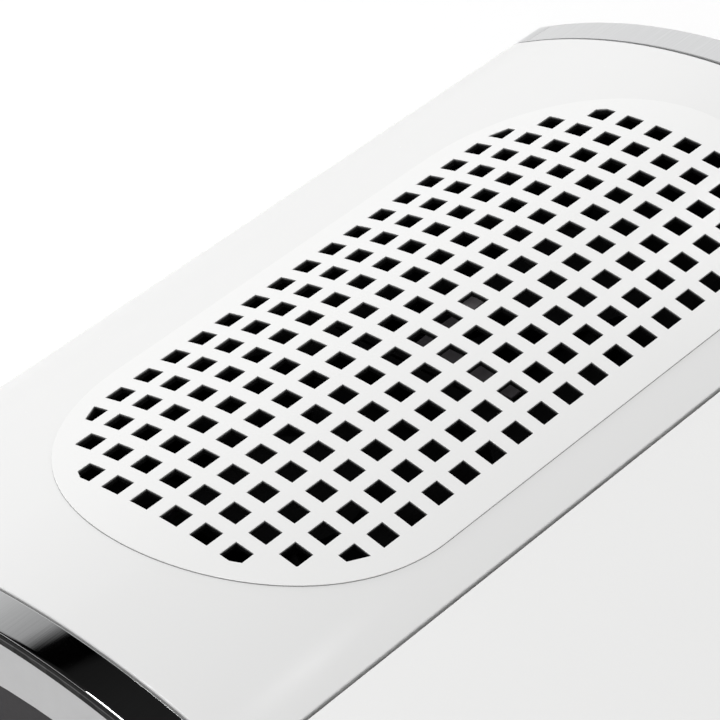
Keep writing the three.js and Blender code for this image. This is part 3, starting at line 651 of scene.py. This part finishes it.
def silver_frame():
    def build(graph):
        where = graph.place()
        mottling = graph.noise(where, 160, 4, 0.6)
        scuffs = graph.ramp(graph.noise(graph.stretched((300, 90, 420)), 1, 4, 0.7), [(0.62, 0), (0.72, 1)])
        base = graph.mix(mottling, rgba(colours().frame, 0.92), rgba(colours().frame, 1.06))
        base = graph.mix(scuffs * 0.35, base, rgba(colours().frame, 0.62))
        return principled(
            graph, Base_Color=base, Metallic=0.25, Roughness=0.34 + mottling * 0.16,
            Normal=graph.bump(mottling, 0.02 * MM, 0.5),
        )

    return material("silver_grey_frame", build)


def dark_plastic(name, base_colour, rough=0.42, grain=0.03, shine=0.5):
    def build(graph):
        where = graph.place()
        cloud = graph.noise(where, 30, 3)
        base = graph.mix(cloud, rgba(base_colour, 0.85), rgba(base_colour, 1.15))
        spark = graph.bump(graph.noise(where, 1500, 3), grain * MM, 0.7)
        uneven = rough + (cloud - 0.5) * 0.12
        return principled(graph, Base_Color=base, Roughness=uneven, Normal=spark, Specular_IOR_Level=shine)

    return material(name, build)


def metal(name, base_colour, rough=0.32, stretch=(30, 900, 900)):
    def build(graph):
        brushed = graph.noise(graph.stretched(stretch), 1, 4)
        base = graph.mix(brushed, rgba(base_colour, 0.82), rgba(base_colour, 1.08))
        return principled(
            graph, Base_Color=base, Metallic=1.0, Roughness=rough + (brushed - 0.5) * 0.16,
            Normal=graph.bump(brushed, 0.01 * MM, 0.6),
        )

    return material(name, build)


def clear_plastic(name, base_colour, rough, transmission):
    def build(graph):
        haze = graph.noise(graph.place(), 55, 3)
        base = graph.mix(haze, rgba(base_colour, 0.94), rgba(base_colour, 1.04))
        return principled(
            graph, Base_Color=base, Roughness=rough + haze * 0.06, Transmission_Weight=transmission, IOR=1.49
        )

    return material(name, build)


def rubber():
    return dark_plastic("foot_rubber", (0.018, 0.018, 0.019), 0.82, 0.06)


def ivory():
    return satin_white("natural_plastic", 0.5, 0.03)


# ---------------- housing


def stadium_loop(bm, length_x, width, path):
    """A stadium's outline, laid flat where it sits over the arch."""
    verts = circle(bm, width / 2, steps=STADIUM_STEPS)
    pull_apart(verts, (length_x - width) / 2)
    for vert in verts:
        vert.co = (path.outlet_x + vert.co.x, path.over_arch(vert.co.y), 0)
    return verts


def build_top_shell():
    size = sizes()
    outlet = bpy.context.scene.dehumidifier_outlet
    path = outline()
    low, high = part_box("outlet_grille")
    opening = (high[0] - low[0] + 2 * outlet.gap, high[1] - low[1] + 2 * outlet.gap)
    reach = (opening[0] - opening[1]) / 2
    start = size.joint / 2
    end = path.down_back(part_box("top_shell")[0][2])

    bm = bmesh.new()
    sheet = rectangle(bm, -path.shell_end, path.shell_end, start, end)
    outer = list(sheet.verts)
    bmesh.ops.delete(bm, geom=[sheet], context="FACES_ONLY")
    inner = stadium_loop(bm, *opening, path)
    faces = fill(bm, [outer, inner])
    thicken(bm, faces, size.wall)

    # The wall of the opening, cut at the ledge and drawn inwards below it.
    seat = outlet.thick - outlet.proud + SEAT_GAP
    round_wall = [f for f in bm.faces if abs(f.normal.z) < 0.5 and in_opening(f, path, opening)]
    split_faces(bm, round_wall, (0, 0, -seat), (0, 0, 1))
    lower = [
        f for f in bm.faces
        if abs(f.normal.z) < 0.5 and in_opening(f, path, opening) and f.calc_center_median().z < -seat
    ]
    made = bmesh.ops.extrude_face_region(bm, geom=lower)["geom"]
    for vert in verts_in(made):
        across = max(-reach, min(reach, vert.co.x - path.outlet_x))
        middle = Vector((path.outlet_x + across, path.crest, vert.co.z))
        vert.co -= (vert.co - middle).normalized() * (outlet.ledge + outlet.gap)
    face_outwards(bm)
    below = bm.faces.layers.int.new("below_seat")
    for face in bm.faces:
        face[below] = int(in_opening(face, path, opening) and face.calc_center_median().z < -seat + 0.1 * MM)
    top_edges = outer_edges(bm)
    round_edges = [e for e in top_edges if abs(e.verts[0].co.x) < path.shell_end - MM
                   and start + MM < e.verts[0].co.y < end - MM]
    bevel(bm, [e for e in top_edges if e not in round_edges], size.edge, 3)
    bevel(bm, [e for e in round_edges if e.is_valid], outlet.mouth_round, 2)
    cut_across(bm, path.stations(start, end))
    roll_up(bm, path)
    # Faces of the opening below the insert's seat take the second material, painted near-black as painted
    # shade.
    for face in bm.faces:
        face.material_index = int(face[below] > 0)
    shell = finish_mesh(
        "top_shell_moulded", bm, gloss_white(), "housing", ["top_shell"]
    )
    # Second material: near-black painted shade for the opening below the seat.
    shell.data.materials.append(dark_plastic("painted_shade_throat", (0.003, 0.003, 0.003), 0.6, 0.02, 0.1))


def in_opening(face, path, opening):
    centre = face.calc_center_median()
    across = abs(centre.x - path.outlet_x)
    return across < opening[0] / 2 + MM and abs(centre.y - path.crest) < opening[1] / 2 + 2 * MM


def build_front_cover():
    size = sizes()
    path = outline()
    start = path.down_front(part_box("front_cover")[0][2])
    end = -size.joint / 2
    bm = bmesh.new()
    sheet = rectangle(bm, -path.shell_end, path.shell_end, start, end)
    loops = [list(sheet.verts)]
    bmesh.ops.delete(bm, geom=[sheet], context="FACES_ONLY")
    for node in ("power_button", "fan_speed_button", "indicator_lens"):
        low, high = corners(node)
        middle = (low + high) / 2
        radius = (high.x - low.x) / 2 + KEY_GAP
        loops.append(circle(bm, radius, middle.x, deck_place(path, node), steps=40))
    thicken(bm, fill(bm, loops), size.wall)
    bevel(bm, outer_edges(bm), size.edge, 3)
    cut_across(bm, path.stations(start, end))
    roll_up(bm, path)
    tongue = joint_tongue(path, size)
    face_outwards(bm)
    finish_mesh(
        "front_cover_moulded", bm, satin_white("deck_panel", 0.42, 0.03), "housing", ["front_cover"],
    )
    finish_mesh("front_cover_tongue", tongue, satin_white(), "housing")


def deck_place(path, node):
    """Where a control's axis meets the deck, as a length along the path."""
    low, high = corners(node)
    middle = (low + high) / 2
    relative = Vector((middle.y, middle.z)) - path.seam
    fall = Vector((math.cos(path.slope), math.sin(path.slope)))
    return relative.dot(fall)


def joint_tongue(path, size):
    """The tongue that runs from the front cover under the top shell and closes the joint."""
    bm = bmesh.new()
    half = path.shell_end - size.wall
    front, back = TONGUE["front"], TONGUE["back"]
    top = -size.wall - TONGUE["gap"]
    box(bm, (-half, front, top - TONGUE["thick"]), (half, back, top))
    box(bm, (-half, front, top), (half, TONGUE["web_back"], -size.wall + 0.1 * MM))
    cut_across(bm, path.stations(front, back) + [0])
    roll_up(bm, path)
    return bm


# ---------------- outlet insert


def hole_lines(half_size, pitch, hole, offset):
    """The two lines of each hole's sides, along one axis."""
    count = int(half_size / pitch) + 1
    middles = [(i + offset) * pitch for i in range(-count, count + 1)]
    return [m + side * hole / 2 for m in middles for side in (-1, 1) if abs(m) < half_size]


def build_outlet_insert():
    outlet = bpy.context.scene.dehumidifier_outlet
    path = outline()
    low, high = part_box("outlet_grille")
    length_x, width = high[0] - low[0], high[1] - low[1]
    reach = (length_x - width) / 2
    border = width / 2 - outlet.border

    bm = bmesh.new()
    on_rim = bm.faces.layers.int.new("rim")
    verts = circle(bm, width / 2, steps=STADIUM_STEPS, filled=True)
    pull_apart(verts, reach)
    face = bm.faces[:]
    # The rim climbs to a rounded crown, then steps down to the perforated field.
    for step, rise in RIM_STEPS:
        ring = bmesh.ops.inset_region(
            bm, faces=face, thickness=step * MM, depth=rise * MM, use_even_offset=True
        )
        for side in ring["faces"]:
            side[on_rim] = 1
    field = face[0]

    cells = [field]
    for x in hole_lines(length_x / 2, outlet.pitch, outlet.hole, 0):
        cells = split_faces(bm, cells, (x, 0, 0), (1, 0, 0))
    for y in hole_lines(width / 2, outlet.pitch, outlet.hole, 0.5):
        over = path.radius * math.sin(y / path.radius)
        cells = split_faces(bm, cells, (0, over, 0), (0, 1, 0))

    openings = []
    for cell in cells:
        centre = cell.calc_center_median()
        if not is_hole(centre, outlet, path):
            continue
        middle_x = max(-reach, min(reach, centre.x))
        away = Vector((centre.x - middle_x, centre.y))
        corner = max((Vector((v.co.x - middle_x, v.co.y)).length for v in cell.verts))
        if away.length > border - 0.5 * MM:
            continue
        if corner > border:
            plane = Vector((middle_x, 0)) + away.normalized() * (border - 0.05 * MM)
            parts = split_faces(bm, [cell], (plane.x, plane.y, 0), (away.x, away.y, 0))
            inner = Vector((middle_x, 0))
            cell = min(parts, key=lambda part: (part.calc_center_median().xy - inner).length)
        openings.append(cell)
    bmesh.ops.delete(bm, geom=openings, context="FACES")

    mouth = [e for e in bm.edges if len(e.link_faces) == 1 and e.verts[0].co.z > 0.2 * MM]
    thicken(bm, bm.faces[:], outlet.thick - FIELD_DROP)
    bevel(bm, [e for e in mouth if e.is_valid], outlet.hole_round, 2)
    bends = int(width / 2 / BEND_EVERY)
    cut_across(bm, [i * BEND_EVERY for i in range(-bends, bends + 1)])
    # Rim faces take the second material, the lighter copy of the white painted as a highlight along the
    # crown.
    for face in bm.faces:
        face.material_index = face[on_rim]
    for vert in bm.verts:
        vert.co.y = path.over_arch(vert.co.y)
    tab_y = width / 2 - outlet.ledge - TAB["gap"]
    for x, y in itertools.product((-length_x / 5, length_x / 5), (-tab_y, tab_y)):
        along = path.over_arch(y)
        low_corner = (x - TAB["half"], along - TAB["thick"] / 2, TAB["low"])
        box(bm, low_corner, (x + TAB["half"], along + TAB["thick"] / 2, TAB["high"]))
    roll_up(bm, path)
    move(bm, (path.outlet_x, 0, 0))
    insert = finish_mesh(
        "outlet_insert", bm, insert_plastic(path), "grille", ["outlet_grille"]
    )
    # Second material: the painted-highlight copy for the rim.
    insert.data.materials.append(gloss_white("painted_highlight_rim", 1.2))


def is_hole(centre, outlet, path):
    """Whether a cell's centre lies inside one of the square holes."""
    column = centre.x / outlet.pitch
    row = path.radius * math.asin(centre.y / path.radius) / outlet.pitch - 0.5
    inside = outlet.hole / 2 - 0.2 * MM
    return all(abs(place - round(place)) * outlet.pitch < inside for place in (column, row))


# ---------------- ends


def build_chrome_trim(side):
    trim = bpy.context.scene.dehumidifier_trim
    path = outline()
    low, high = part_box(f"chrome_trim_{side}")
    inner, outer = sorted((abs(low[0]), abs(high[0])))
    start = path.down_front(low[2])
    end = path.down_back(low[2])
    bm = bmesh.new()
    box(bm, (inner, start, -trim.thick), (outer, end, 0))
    cut_all(bm, (outer - trim.lip, 0, 0), (1, 0, 0))
    under = [f for f in bm.faces if f.normal.z < -0.5 and f.calc_center_median().x > outer - trim.lip]
    made = bmesh.ops.extrude_face_region(bm, geom=under)["geom"]
    move(bm, (0, 0, trim.thick - trim.drop), verts_in(made))
    face_outwards(bm)
    runs = [e for e in sharp_edges(bm) if abs(e.verts[0].co.y - e.verts[1].co.y) > 0.1]
    crest = [e for e in runs if all(v.co.z > -TINY and v.co.x > outer - TINY for v in e.verts)]
    others = [e for e in runs if e not in crest]
    bevel(bm, others, 0.2 * MM, 2)
    bevel(bm, [e for e in crest if e.is_valid], trim.rounding, 4)
    # Cut the lip where the painted highlight line starts and ends.
    for height in reversed(PAINTED_LINE_DEPTHS):
        cut_all(bm, (0, 0, height), (0, 0, 1))
    # The lip's outer face is painted near-black as a painted dark reflection, with a grey line across it as a
    # painted highlight; the rest stays chrome.
    for face in bm.faces:
        centre = face.calc_center_median()
        on_painted_line = PAINTED_LINE_DEPTHS[0] < centre.z < PAINTED_LINE_DEPTHS[1]
        painted_dark_face = face.normal.x > 0.7 and centre.z < -0.1 * MM
        face.material_index = (2 if on_painted_line else 1) if painted_dark_face else 0
    cut_across(bm, path.stations(start, end))
    roll_up(bm, path)
    if side == "left":
        mirrored(bm)
    node = f"chrome_trim_{side}"
    band = finish_mesh(f"chrome_band_{side}", bm, chrome_plate(), "housing", [node])
    # Second material: the painted dark reflection on the lip.
    band.data.materials.append(dark_plastic("trim_painted_dark_reflection", (0.004, 0.004, 0.004), 0.5, 0.01, 0.1))
    # Third material: the grey painted highlight line.
    band.data.materials.append(dark_plastic("trim_painted_highlight_line", (0.045, 0.045, 0.046), 0.4, 0.01, 0.2))


def build_side_door(side):
    """The louvred door: its plate, the sloping blades behind the slots, and the filter."""
    node = f"side_louvre_{side}"
    bm = merged_copy(node)
    bevel(bm, sharp_edges(bm), 0.25 * MM, 2)
    charcoal = dark_plastic("charcoal_door", colours().louvre, 0.45, 0.03, 0.2)
    finish_mesh(f"{node}_moulded", bm, charcoal, f"side_door_{side}", [node])
    low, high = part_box(node)
    filter_low, filter_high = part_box(f"air_filter_{side}")
    middle = (low[0] + high[0]) / 2
    sign = 1 if side == "right" else -1
    blades = bmesh.new()
    x, height, margin = LOUVRE["half"], LOUVRE["half_thick"], LOUVRE["margin"]
    z = filter_low[2] + LOUVRE["first"]
    while z + LOUVRE["rise"] < filter_high[2]:
        verts = box(blades, (-x, filter_low[1] + margin, -height), (x, filter_high[1] - margin, height))
        turn(blades, sign * LOUVRE["tilt"], "Y", verts)
        place = (middle - sign * LOUVRE["back"], 0, z + LOUVRE["rise"] / 2)
        move(blades, place, verts)
        z += LOUVRE["pitch"]
    bevel(blades, sharp_edges(blades), 0.15 * MM, 1)
    finish_mesh(f"louvre_blades_{side}", blades, charcoal, f"side_door_{side}")
    refine(f"air_filter_{side}", dark_plastic("filter_frame", (0.02, 0.02, 0.022), 0.5), 0.25 * MM, 1)


# ---------------- fans


def rounded_square(bm, half, radius):
    face = rectangle(bm, -half, half, -half, half)
    bmesh.ops.bevel(
        bm, geom=list(face.verts), offset=radius, offset_type="OFFSET", affect="VERTICES",
        segments=5, profile=0.5, material=-1,
    )
    outer = bm.verts[:]
    bmesh.ops.delete(bm, geom=bm.faces[:], context="FACES_ONLY")
    return outer


def build_fan_frame(side):
    """A square frame: two flanges, the duct between them, the struts and the motor's hub."""
    node = f"fan_frame_{side}"
    low, high = corners(node)
    middle = (low + high) / 2
    half = (high.x - low.x) / 2
    bore = half - FAN["bore_wall"]
    flange = FAN["flange"]
    screw_at = half - FAN["screw_in"]
    thick = high.z - low.z
    bm = bmesh.new()
    for top in (thick, flange):
        layer = bmesh.new()
        loops = [rounded_square(layer, half, FAN["corner"]), circle(layer, bore, steps=72)]
        for x, y in itertools.product((-screw_at, screw_at), repeat=2):
            loops.append(circle(layer, FAN["screw"], x, y, steps=20))
        thicken(layer, fill(layer, loops), flange)
        bevel(layer, sharp_edges(layer, 50), 0.3 * MM, 2)
        move(layer, (0, 0, top))
        join_into(bm, layer)
    duct = bmesh.new()
    loops = [circle(duct, half - 0.4 * MM, steps=72), circle(duct, bore, steps=72)]
    thicken(duct, fill(duct, loops), thick - 2 * flange + 0.2 * MM)
    move(duct, (0, 0, thick - flange + 0.1 * MM))
    join_into(bm, duct)
    for i in range(4):
        strut = bmesh.new()
        ends = FAN["strut_from"], bore + 0.8 * MM
        box(strut, (ends[0], -FAN["strut_half"], 0), (ends[1], FAN["strut_half"], FAN["strut_thick"]))
        bevel(strut, sharp_edges(strut), 0.4 * MM, 2)
        turn(strut, i * math.pi / 2 + FAN["strut_turn"], "Z")
        join_into(bm, strut)
    hub = bmesh.new()
    edge = 0.5 * MM
    lathe(hub, [(0, 0), (HUB_RADIUS - edge, 0), (HUB_RADIUS, edge), (HUB_RADIUS, 3 * MM), (0, 3 * MM)], 48)
    join_into(bm, hub)
    move(bm, (middle.x, middle.y, low.z))
    finish_mesh(f"{node}_moulded", bm, fan_plastic(), "housing", [node])


def join_into(bm, other):
    """Adds another bmesh's shells to this one."""
    mesh = new_mesh("shells", other)
    bm.from_mesh(mesh)
    bpy.data.meshes.remove(mesh)


def fan_plastic():
    return dark_plastic("fan_plastic", colours().fan, 0.6, 0.015, 0.06)


def build_impeller(side):
    """The rotor: a capped hub and twisted blades."""
    node = f"fan_impeller_{side}"
    low, high = corners(node)
    middle = (low + high) / 2
    height = high.z - low.z
    tip = (high.x - low.x) / 2
    bm = bmesh.new()
    cap = 1.6 * MM
    lathe(
        bm,
        [(0, 0), (HUB_RADIUS, 0), (HUB_RADIUS, height - cap), (HUB_RADIUS - 0.5 * cap, height - 0.2 * cap),
         (HUB_RADIUS - 1.4 * cap, height), (0, height)],
        64,
    )
    for i in range(BLADES):
        blade = bmesh.new()
        bmesh.ops.create_grid(blade, x_segments=8, y_segments=8, size=0.5)
        for vert in blade.verts:
            outward, chord = vert.co.x + 0.5, vert.co.y
            radius = HUB_RADIUS - 0.6 * MM + outward * (tip - HUB_RADIUS + 0.4 * MM)
            angle = chord * (0.92 - 0.12 * outward) + 0.18 * outward
            camber = 1.2 * MM * math.sin(math.pi * (chord + 0.5))
            rise = height * (0.5 + chord * (0.86 - 0.25 * outward)) + camber
            vert.co = (radius * math.cos(angle), radius * math.sin(angle), rise)
        face_outwards(blade)
        bmesh.ops.solidify(blade, geom=blade.faces[:], thickness=BLADE_THICK)
        turn(blade, i * math.tau / BLADES, "Z")
        join_into(bm, blade)
    face_outwards(bm)
    move(bm, (middle.x, middle.y, low.z))
    finish_mesh(f"{node}_moulded", bm, fan_plastic(), f"fan_rotor_{side}", [node])


# ---------------- small pieces and carried-over nodes


def build_button(node, body):
    """A dished key with a soft edge."""
    low, high = corners(node)
    path = outline()
    radius = (high.x - low.x) / 2
    proud = 0.7 * MM
    stem_radius, stem_end, cap_end = 2 * MM, -12 * MM + proud, -3.4 * MM + proud
    bm = bmesh.new()
    lathe(
        bm,
        [(0, stem_end), (stem_radius, stem_end), (stem_radius, cap_end), (radius, cap_end),
         (radius, proud - 0.5 * MM), (radius - 0.15 * MM, proud - 0.15 * MM), (radius - 0.5 * MM, proud),
         (radius - 1.4 * MM, proud), (radius - 2.6 * MM, proud - 0.25 * MM), (0, proud - 0.45 * MM)],
        56,
    )
    along = deck_place(path, node)
    point = path.place(along)[0]
    turn(bm, path.slope, "X")
    move(bm, ((low.x + high.x) / 2, point.x, point.y))
    finish_mesh(f"{node}_cap", bm, silver_frame(), body, [node])


def build_foot(node):
    low, high = corners(node)
    radius = (high.x - low.x) / 2
    height = high.z - low.z
    bm = bmesh.new()
    lathe(
        bm,
        [(0, 0), (radius * 0.55, 0), (radius * 0.62, 0.4 * MM), (radius * 0.68, 0), (radius - 1.2 * MM, 0),
         (radius - 0.3 * MM, 0.3 * MM), (radius, 1.2 * MM), (radius, height), (0, height)],
        48,
    )
    move(bm, ((low.x + high.x) / 2, (low.y + high.y) / 2, low.z))
    finish_mesh(f"{node}_turned", bm, rubber(), "housing", [node])


def build_vent_pad():
    """The foam pad inside the rear cover, over its vent slots."""
    face = corners("rear_cover")[0].y
    half = VENT_PAD["half"]
    bm = bmesh.new()
    corner = (-half, face - VENT_PAD["thick"], corners("machinery_deck")[1].z + VENT_PAD["lift"])
    box(bm, corner, (half, face - VENT_PAD["gap"], VENT_PAD["top"]))
    bevel(bm, sharp_edges(bm), 0.5 * MM, 2)
    finish_mesh("vent_pad", bm, dark_plastic("open_cell_foam", (0.01, 0.01, 0.01), 0.95, 0.3, 0.1), "housing")


def dress_inner_nodes():
    """Finishes for the nodes whose CAD shape stays, each with its edges eased."""
    black = dark_plastic("black_moulding", (0.010, 0.010, 0.011), 0.6, 0.04, 0.2)
    steel = metal("zinc_steel", (0.55, 0.56, 0.58), 0.30)
    black_steel = dark_plastic("black_steel", (0.006, 0.006, 0.007), 0.45, 0.01, 0.2)
    fins = metal("extruded_aluminium", (0.62, 0.63, 0.64), 0.38)
    tank = clear_plastic("smoked_tank", colours().water_tank, 0.12, 0.75)
    lens = clear_plastic("clear_lens", (0.85, 0.9, 0.92), 0.05, 0.9)
    board = dark_plastic("circuit_board", (0.015, 0.09, 0.04), 0.35, 0.01)
    foam = dark_plastic("insulating_foam", (0.06, 0.065, 0.07), 0.9, 0.15)
    looks = {
        "end_frame_left": silver_frame(), "end_frame_right": silver_frame(),
        "base_plate": dark_plastic("charcoal_base", colours().louvre, 0.5),
        "chassis_wall_left": black, "chassis_wall_right": black, "machinery_deck": black, "fan_plate": black,
        "level_switch": black, "dc_inlet": black, "rear_cover": satin_white("rear_panel", 0.45, 0.04),
        "water_tank": tank, "tank_cover": tank, "tank_front": gloss_white(), "level_window": lens,
        "indicator_lens": lens, "float_arm": ivory(), "drip_tray": ivory(),
        "humidity_sensor": dark_plastic("sensor_plastic", (0.16, 0.15, 0.155), 0.6, 0.03, 0.2),
        "peltier_module_left": ivory(), "peltier_module_right": ivory(), "cold_sink": fins, "hot_sink": fins,
        "insulation_pad": foam, "control_board": board,
        "sensor_bracket": dark_plastic("painted_bracket", (0.075, 0.07, 0.075), 0.5, 0.02, 0.2),
    }
    screws = [n for n in frame["nodes"] if "screw" in n]
    looks.update({node: black_steel if node.startswith("fan") else steel for node in screws})
    for node, look in looks.items():
        width = 0.12 * MM if node in screws or "sink" in node or "sensor" in node else 0.3 * MM
        refine(node, look, width, 2 if width > 0.2 * MM else 1)


# ---------------- studio


def build_floor():
    bm = bmesh.new()
    rectangle(bm, -FLOOR_HALF, FLOOR_HALF, -FLOOR_HALF, FLOOR_HALF)
    mesh = new_mesh("floor", bm)
    floor = new_object("floor", mesh)

    def build(graph):
        shade = graph.mix(graph.noise(graph.place(), 3, 2), (0.95, 0.95, 0.95, 1), (0.97, 0.97, 0.97, 1))
        return principled(graph, Base_Color=shade, Roughness=0.6)

    mesh.materials.append(material("studio_floor", build))


def build_light(name, place, aim, size, power):
    light = bpy.data.lights.new(name, "AREA")
    light.shape = "RECTANGLE"
    light.size, light.size_y = size
    light.energy = power
    lamp = new_object(name, light)
    lamp.location = place
    lamp.rotation_euler = (Vector(aim) - Vector(place)).to_track_quat("-Z", "Y").to_euler()


def build_world():
    world = bpy.data.worlds.new("studio")
    bpy.context.scene.world = world
    world.use_nodes = True
    graph = Graph(world.node_tree)
    direction = graph.add("ShaderNodeTexCoord", output="Generated")
    height = graph.add("ShaderNodeSeparateXYZ", {0: direction}, output=2)
    strength = graph.ramp(height, SURROUNDINGS) * bpy.context.scene.dehumidifier_studio.fill
    graph.add("ShaderNodeOutputWorld", {"Surface": graph.add("ShaderNodeBackground", {"Strength": strength})})


def build_camera():
    studio = bpy.context.scene.dehumidifier_studio
    camera = new_object("camera", bpy.data.cameras.new("camera"))
    bpy.context.scene.camera = camera
    camera.data.lens = studio.lens
    camera.data.sensor_width = SENSOR_WIDTH
    camera.data.clip_start = NEAR_CLIP
    back = Vector((
        math.sin(studio.azimuth) * math.cos(studio.elevation),
        -math.cos(studio.azimuth) * math.cos(studio.elevation),
        math.sin(studio.elevation),
    ))
    right = Vector((0, 0, 1)).cross(back).normalized()
    up = back.cross(right)
    turned = right * math.cos(studio.roll) + up * math.sin(studio.roll)
    axes = Matrix((turned, back.cross(turned), back)).transposed()
    camera.matrix_world = Matrix.Translation(studio.camera_place) @ axes.to_4x4()


# ---------------- operators


def build_shells():
    build_top_shell()
    build_front_cover()


def build_ends():
    for side in ("left", "right"):
        build_chrome_trim(side)
        build_side_door(side)


def build_fans():
    for side in ("left", "right"):
        build_fan_frame(side)
        build_impeller(side)


def build_small_pieces():
    build_button("power_button", "power_key")
    build_button("fan_speed_button", "fan_speed_key")
    for node in (n for n in frame["nodes"] if n.startswith("foot_")):
        build_foot(node)
    build_vent_pad()
    dress_inner_nodes()


def build_studio():
    build_floor()
    build_world()
    for name, (place, aim, size, power) in LIGHTS.items():
        build_light(name, place, aim, size, power)
    build_camera()
    bpy.context.scene.view_settings.view_transform = "Standard"


def step_operator(name, label, description, build):
    """The operator class for one step of the build."""
    def execute(self, context):
        build()
        return {"FINISHED"}

    members = {"bl_idname": f"dehumidifier.{name}", "bl_label": label, "bl_description": description}
    return type(f"DEHUMIDIFIER_OT_{name}", (bpy.types.Operator,), {**members, "execute": execute})


OPERATORS = (
    step_operator("studio", "Studio", "Set up the floor, the lights and the camera", build_studio),
    step_operator("shells", "Housing shells", "Build the top shell and the front cover", build_shells),
    step_operator("outlet", "Outlet insert", "Build the perforated outlet insert", build_outlet_insert),
    step_operator("ends", "End trims and doors", "Build the chrome trims and the side doors", build_ends),
    step_operator("fans", "Fans", "Build both fans", build_fans),
    step_operator("small_pieces", "Small pieces", "Build the keys, feet and insides", build_small_pieces),
)


class DEHUMIDIFIER_PT_panel(bpy.types.Panel):
    """Lists the pieces and their sizes"""

    bl_idname = "DEHUMIDIFIER_PT_panel"
    bl_label = "Dehumidifier"
    bl_space_type = "VIEW_3D"
    bl_region_type = "UI"
    bl_category = "Dehumidifier"

    def draw(self, context):
        scene = context.scene
        for group in (scene.dehumidifier_housing, scene.dehumidifier_outlet, scene.dehumidifier_trim,
                      scene.dehumidifier_colours, scene.dehumidifier_studio):
            box_row = self.layout.box()
            for name in group.bl_rna.properties.keys():
                if name not in ("rna_type", "name"):
                    box_row.prop(group, name)
        for operator in OPERATORS:
            self.layout.operator(operator.bl_idname)


GROUPS = {
    "dehumidifier_housing": HousingSizes,
    "dehumidifier_outlet": OutletSizes,
    "dehumidifier_trim": TrimSizes,
    "dehumidifier_colours": FinishColours,
    "dehumidifier_studio": StudioSizes,
}


def register():
    for cls in (*GROUPS.values(), *OPERATORS, DEHUMIDIFIER_PT_panel):
        bpy.utils.register_class(cls)
    for name, group in GROUPS.items():
        setattr(bpy.types.Scene, name, PointerProperty(type=group))


def unregister():
    for name in GROUPS:
        delattr(bpy.types.Scene, name)
    for cls in reversed((*GROUPS.values(), *OPERATORS, DEHUMIDIFIER_PT_panel)):
        bpy.utils.unregister_class(cls)


def main():
    register()
    for operator in OPERATORS:
        group, name = operator.bl_idname.split(".")
        getattr(getattr(bpy.ops, group), name)()


if __name__ == "__main__":
    main()
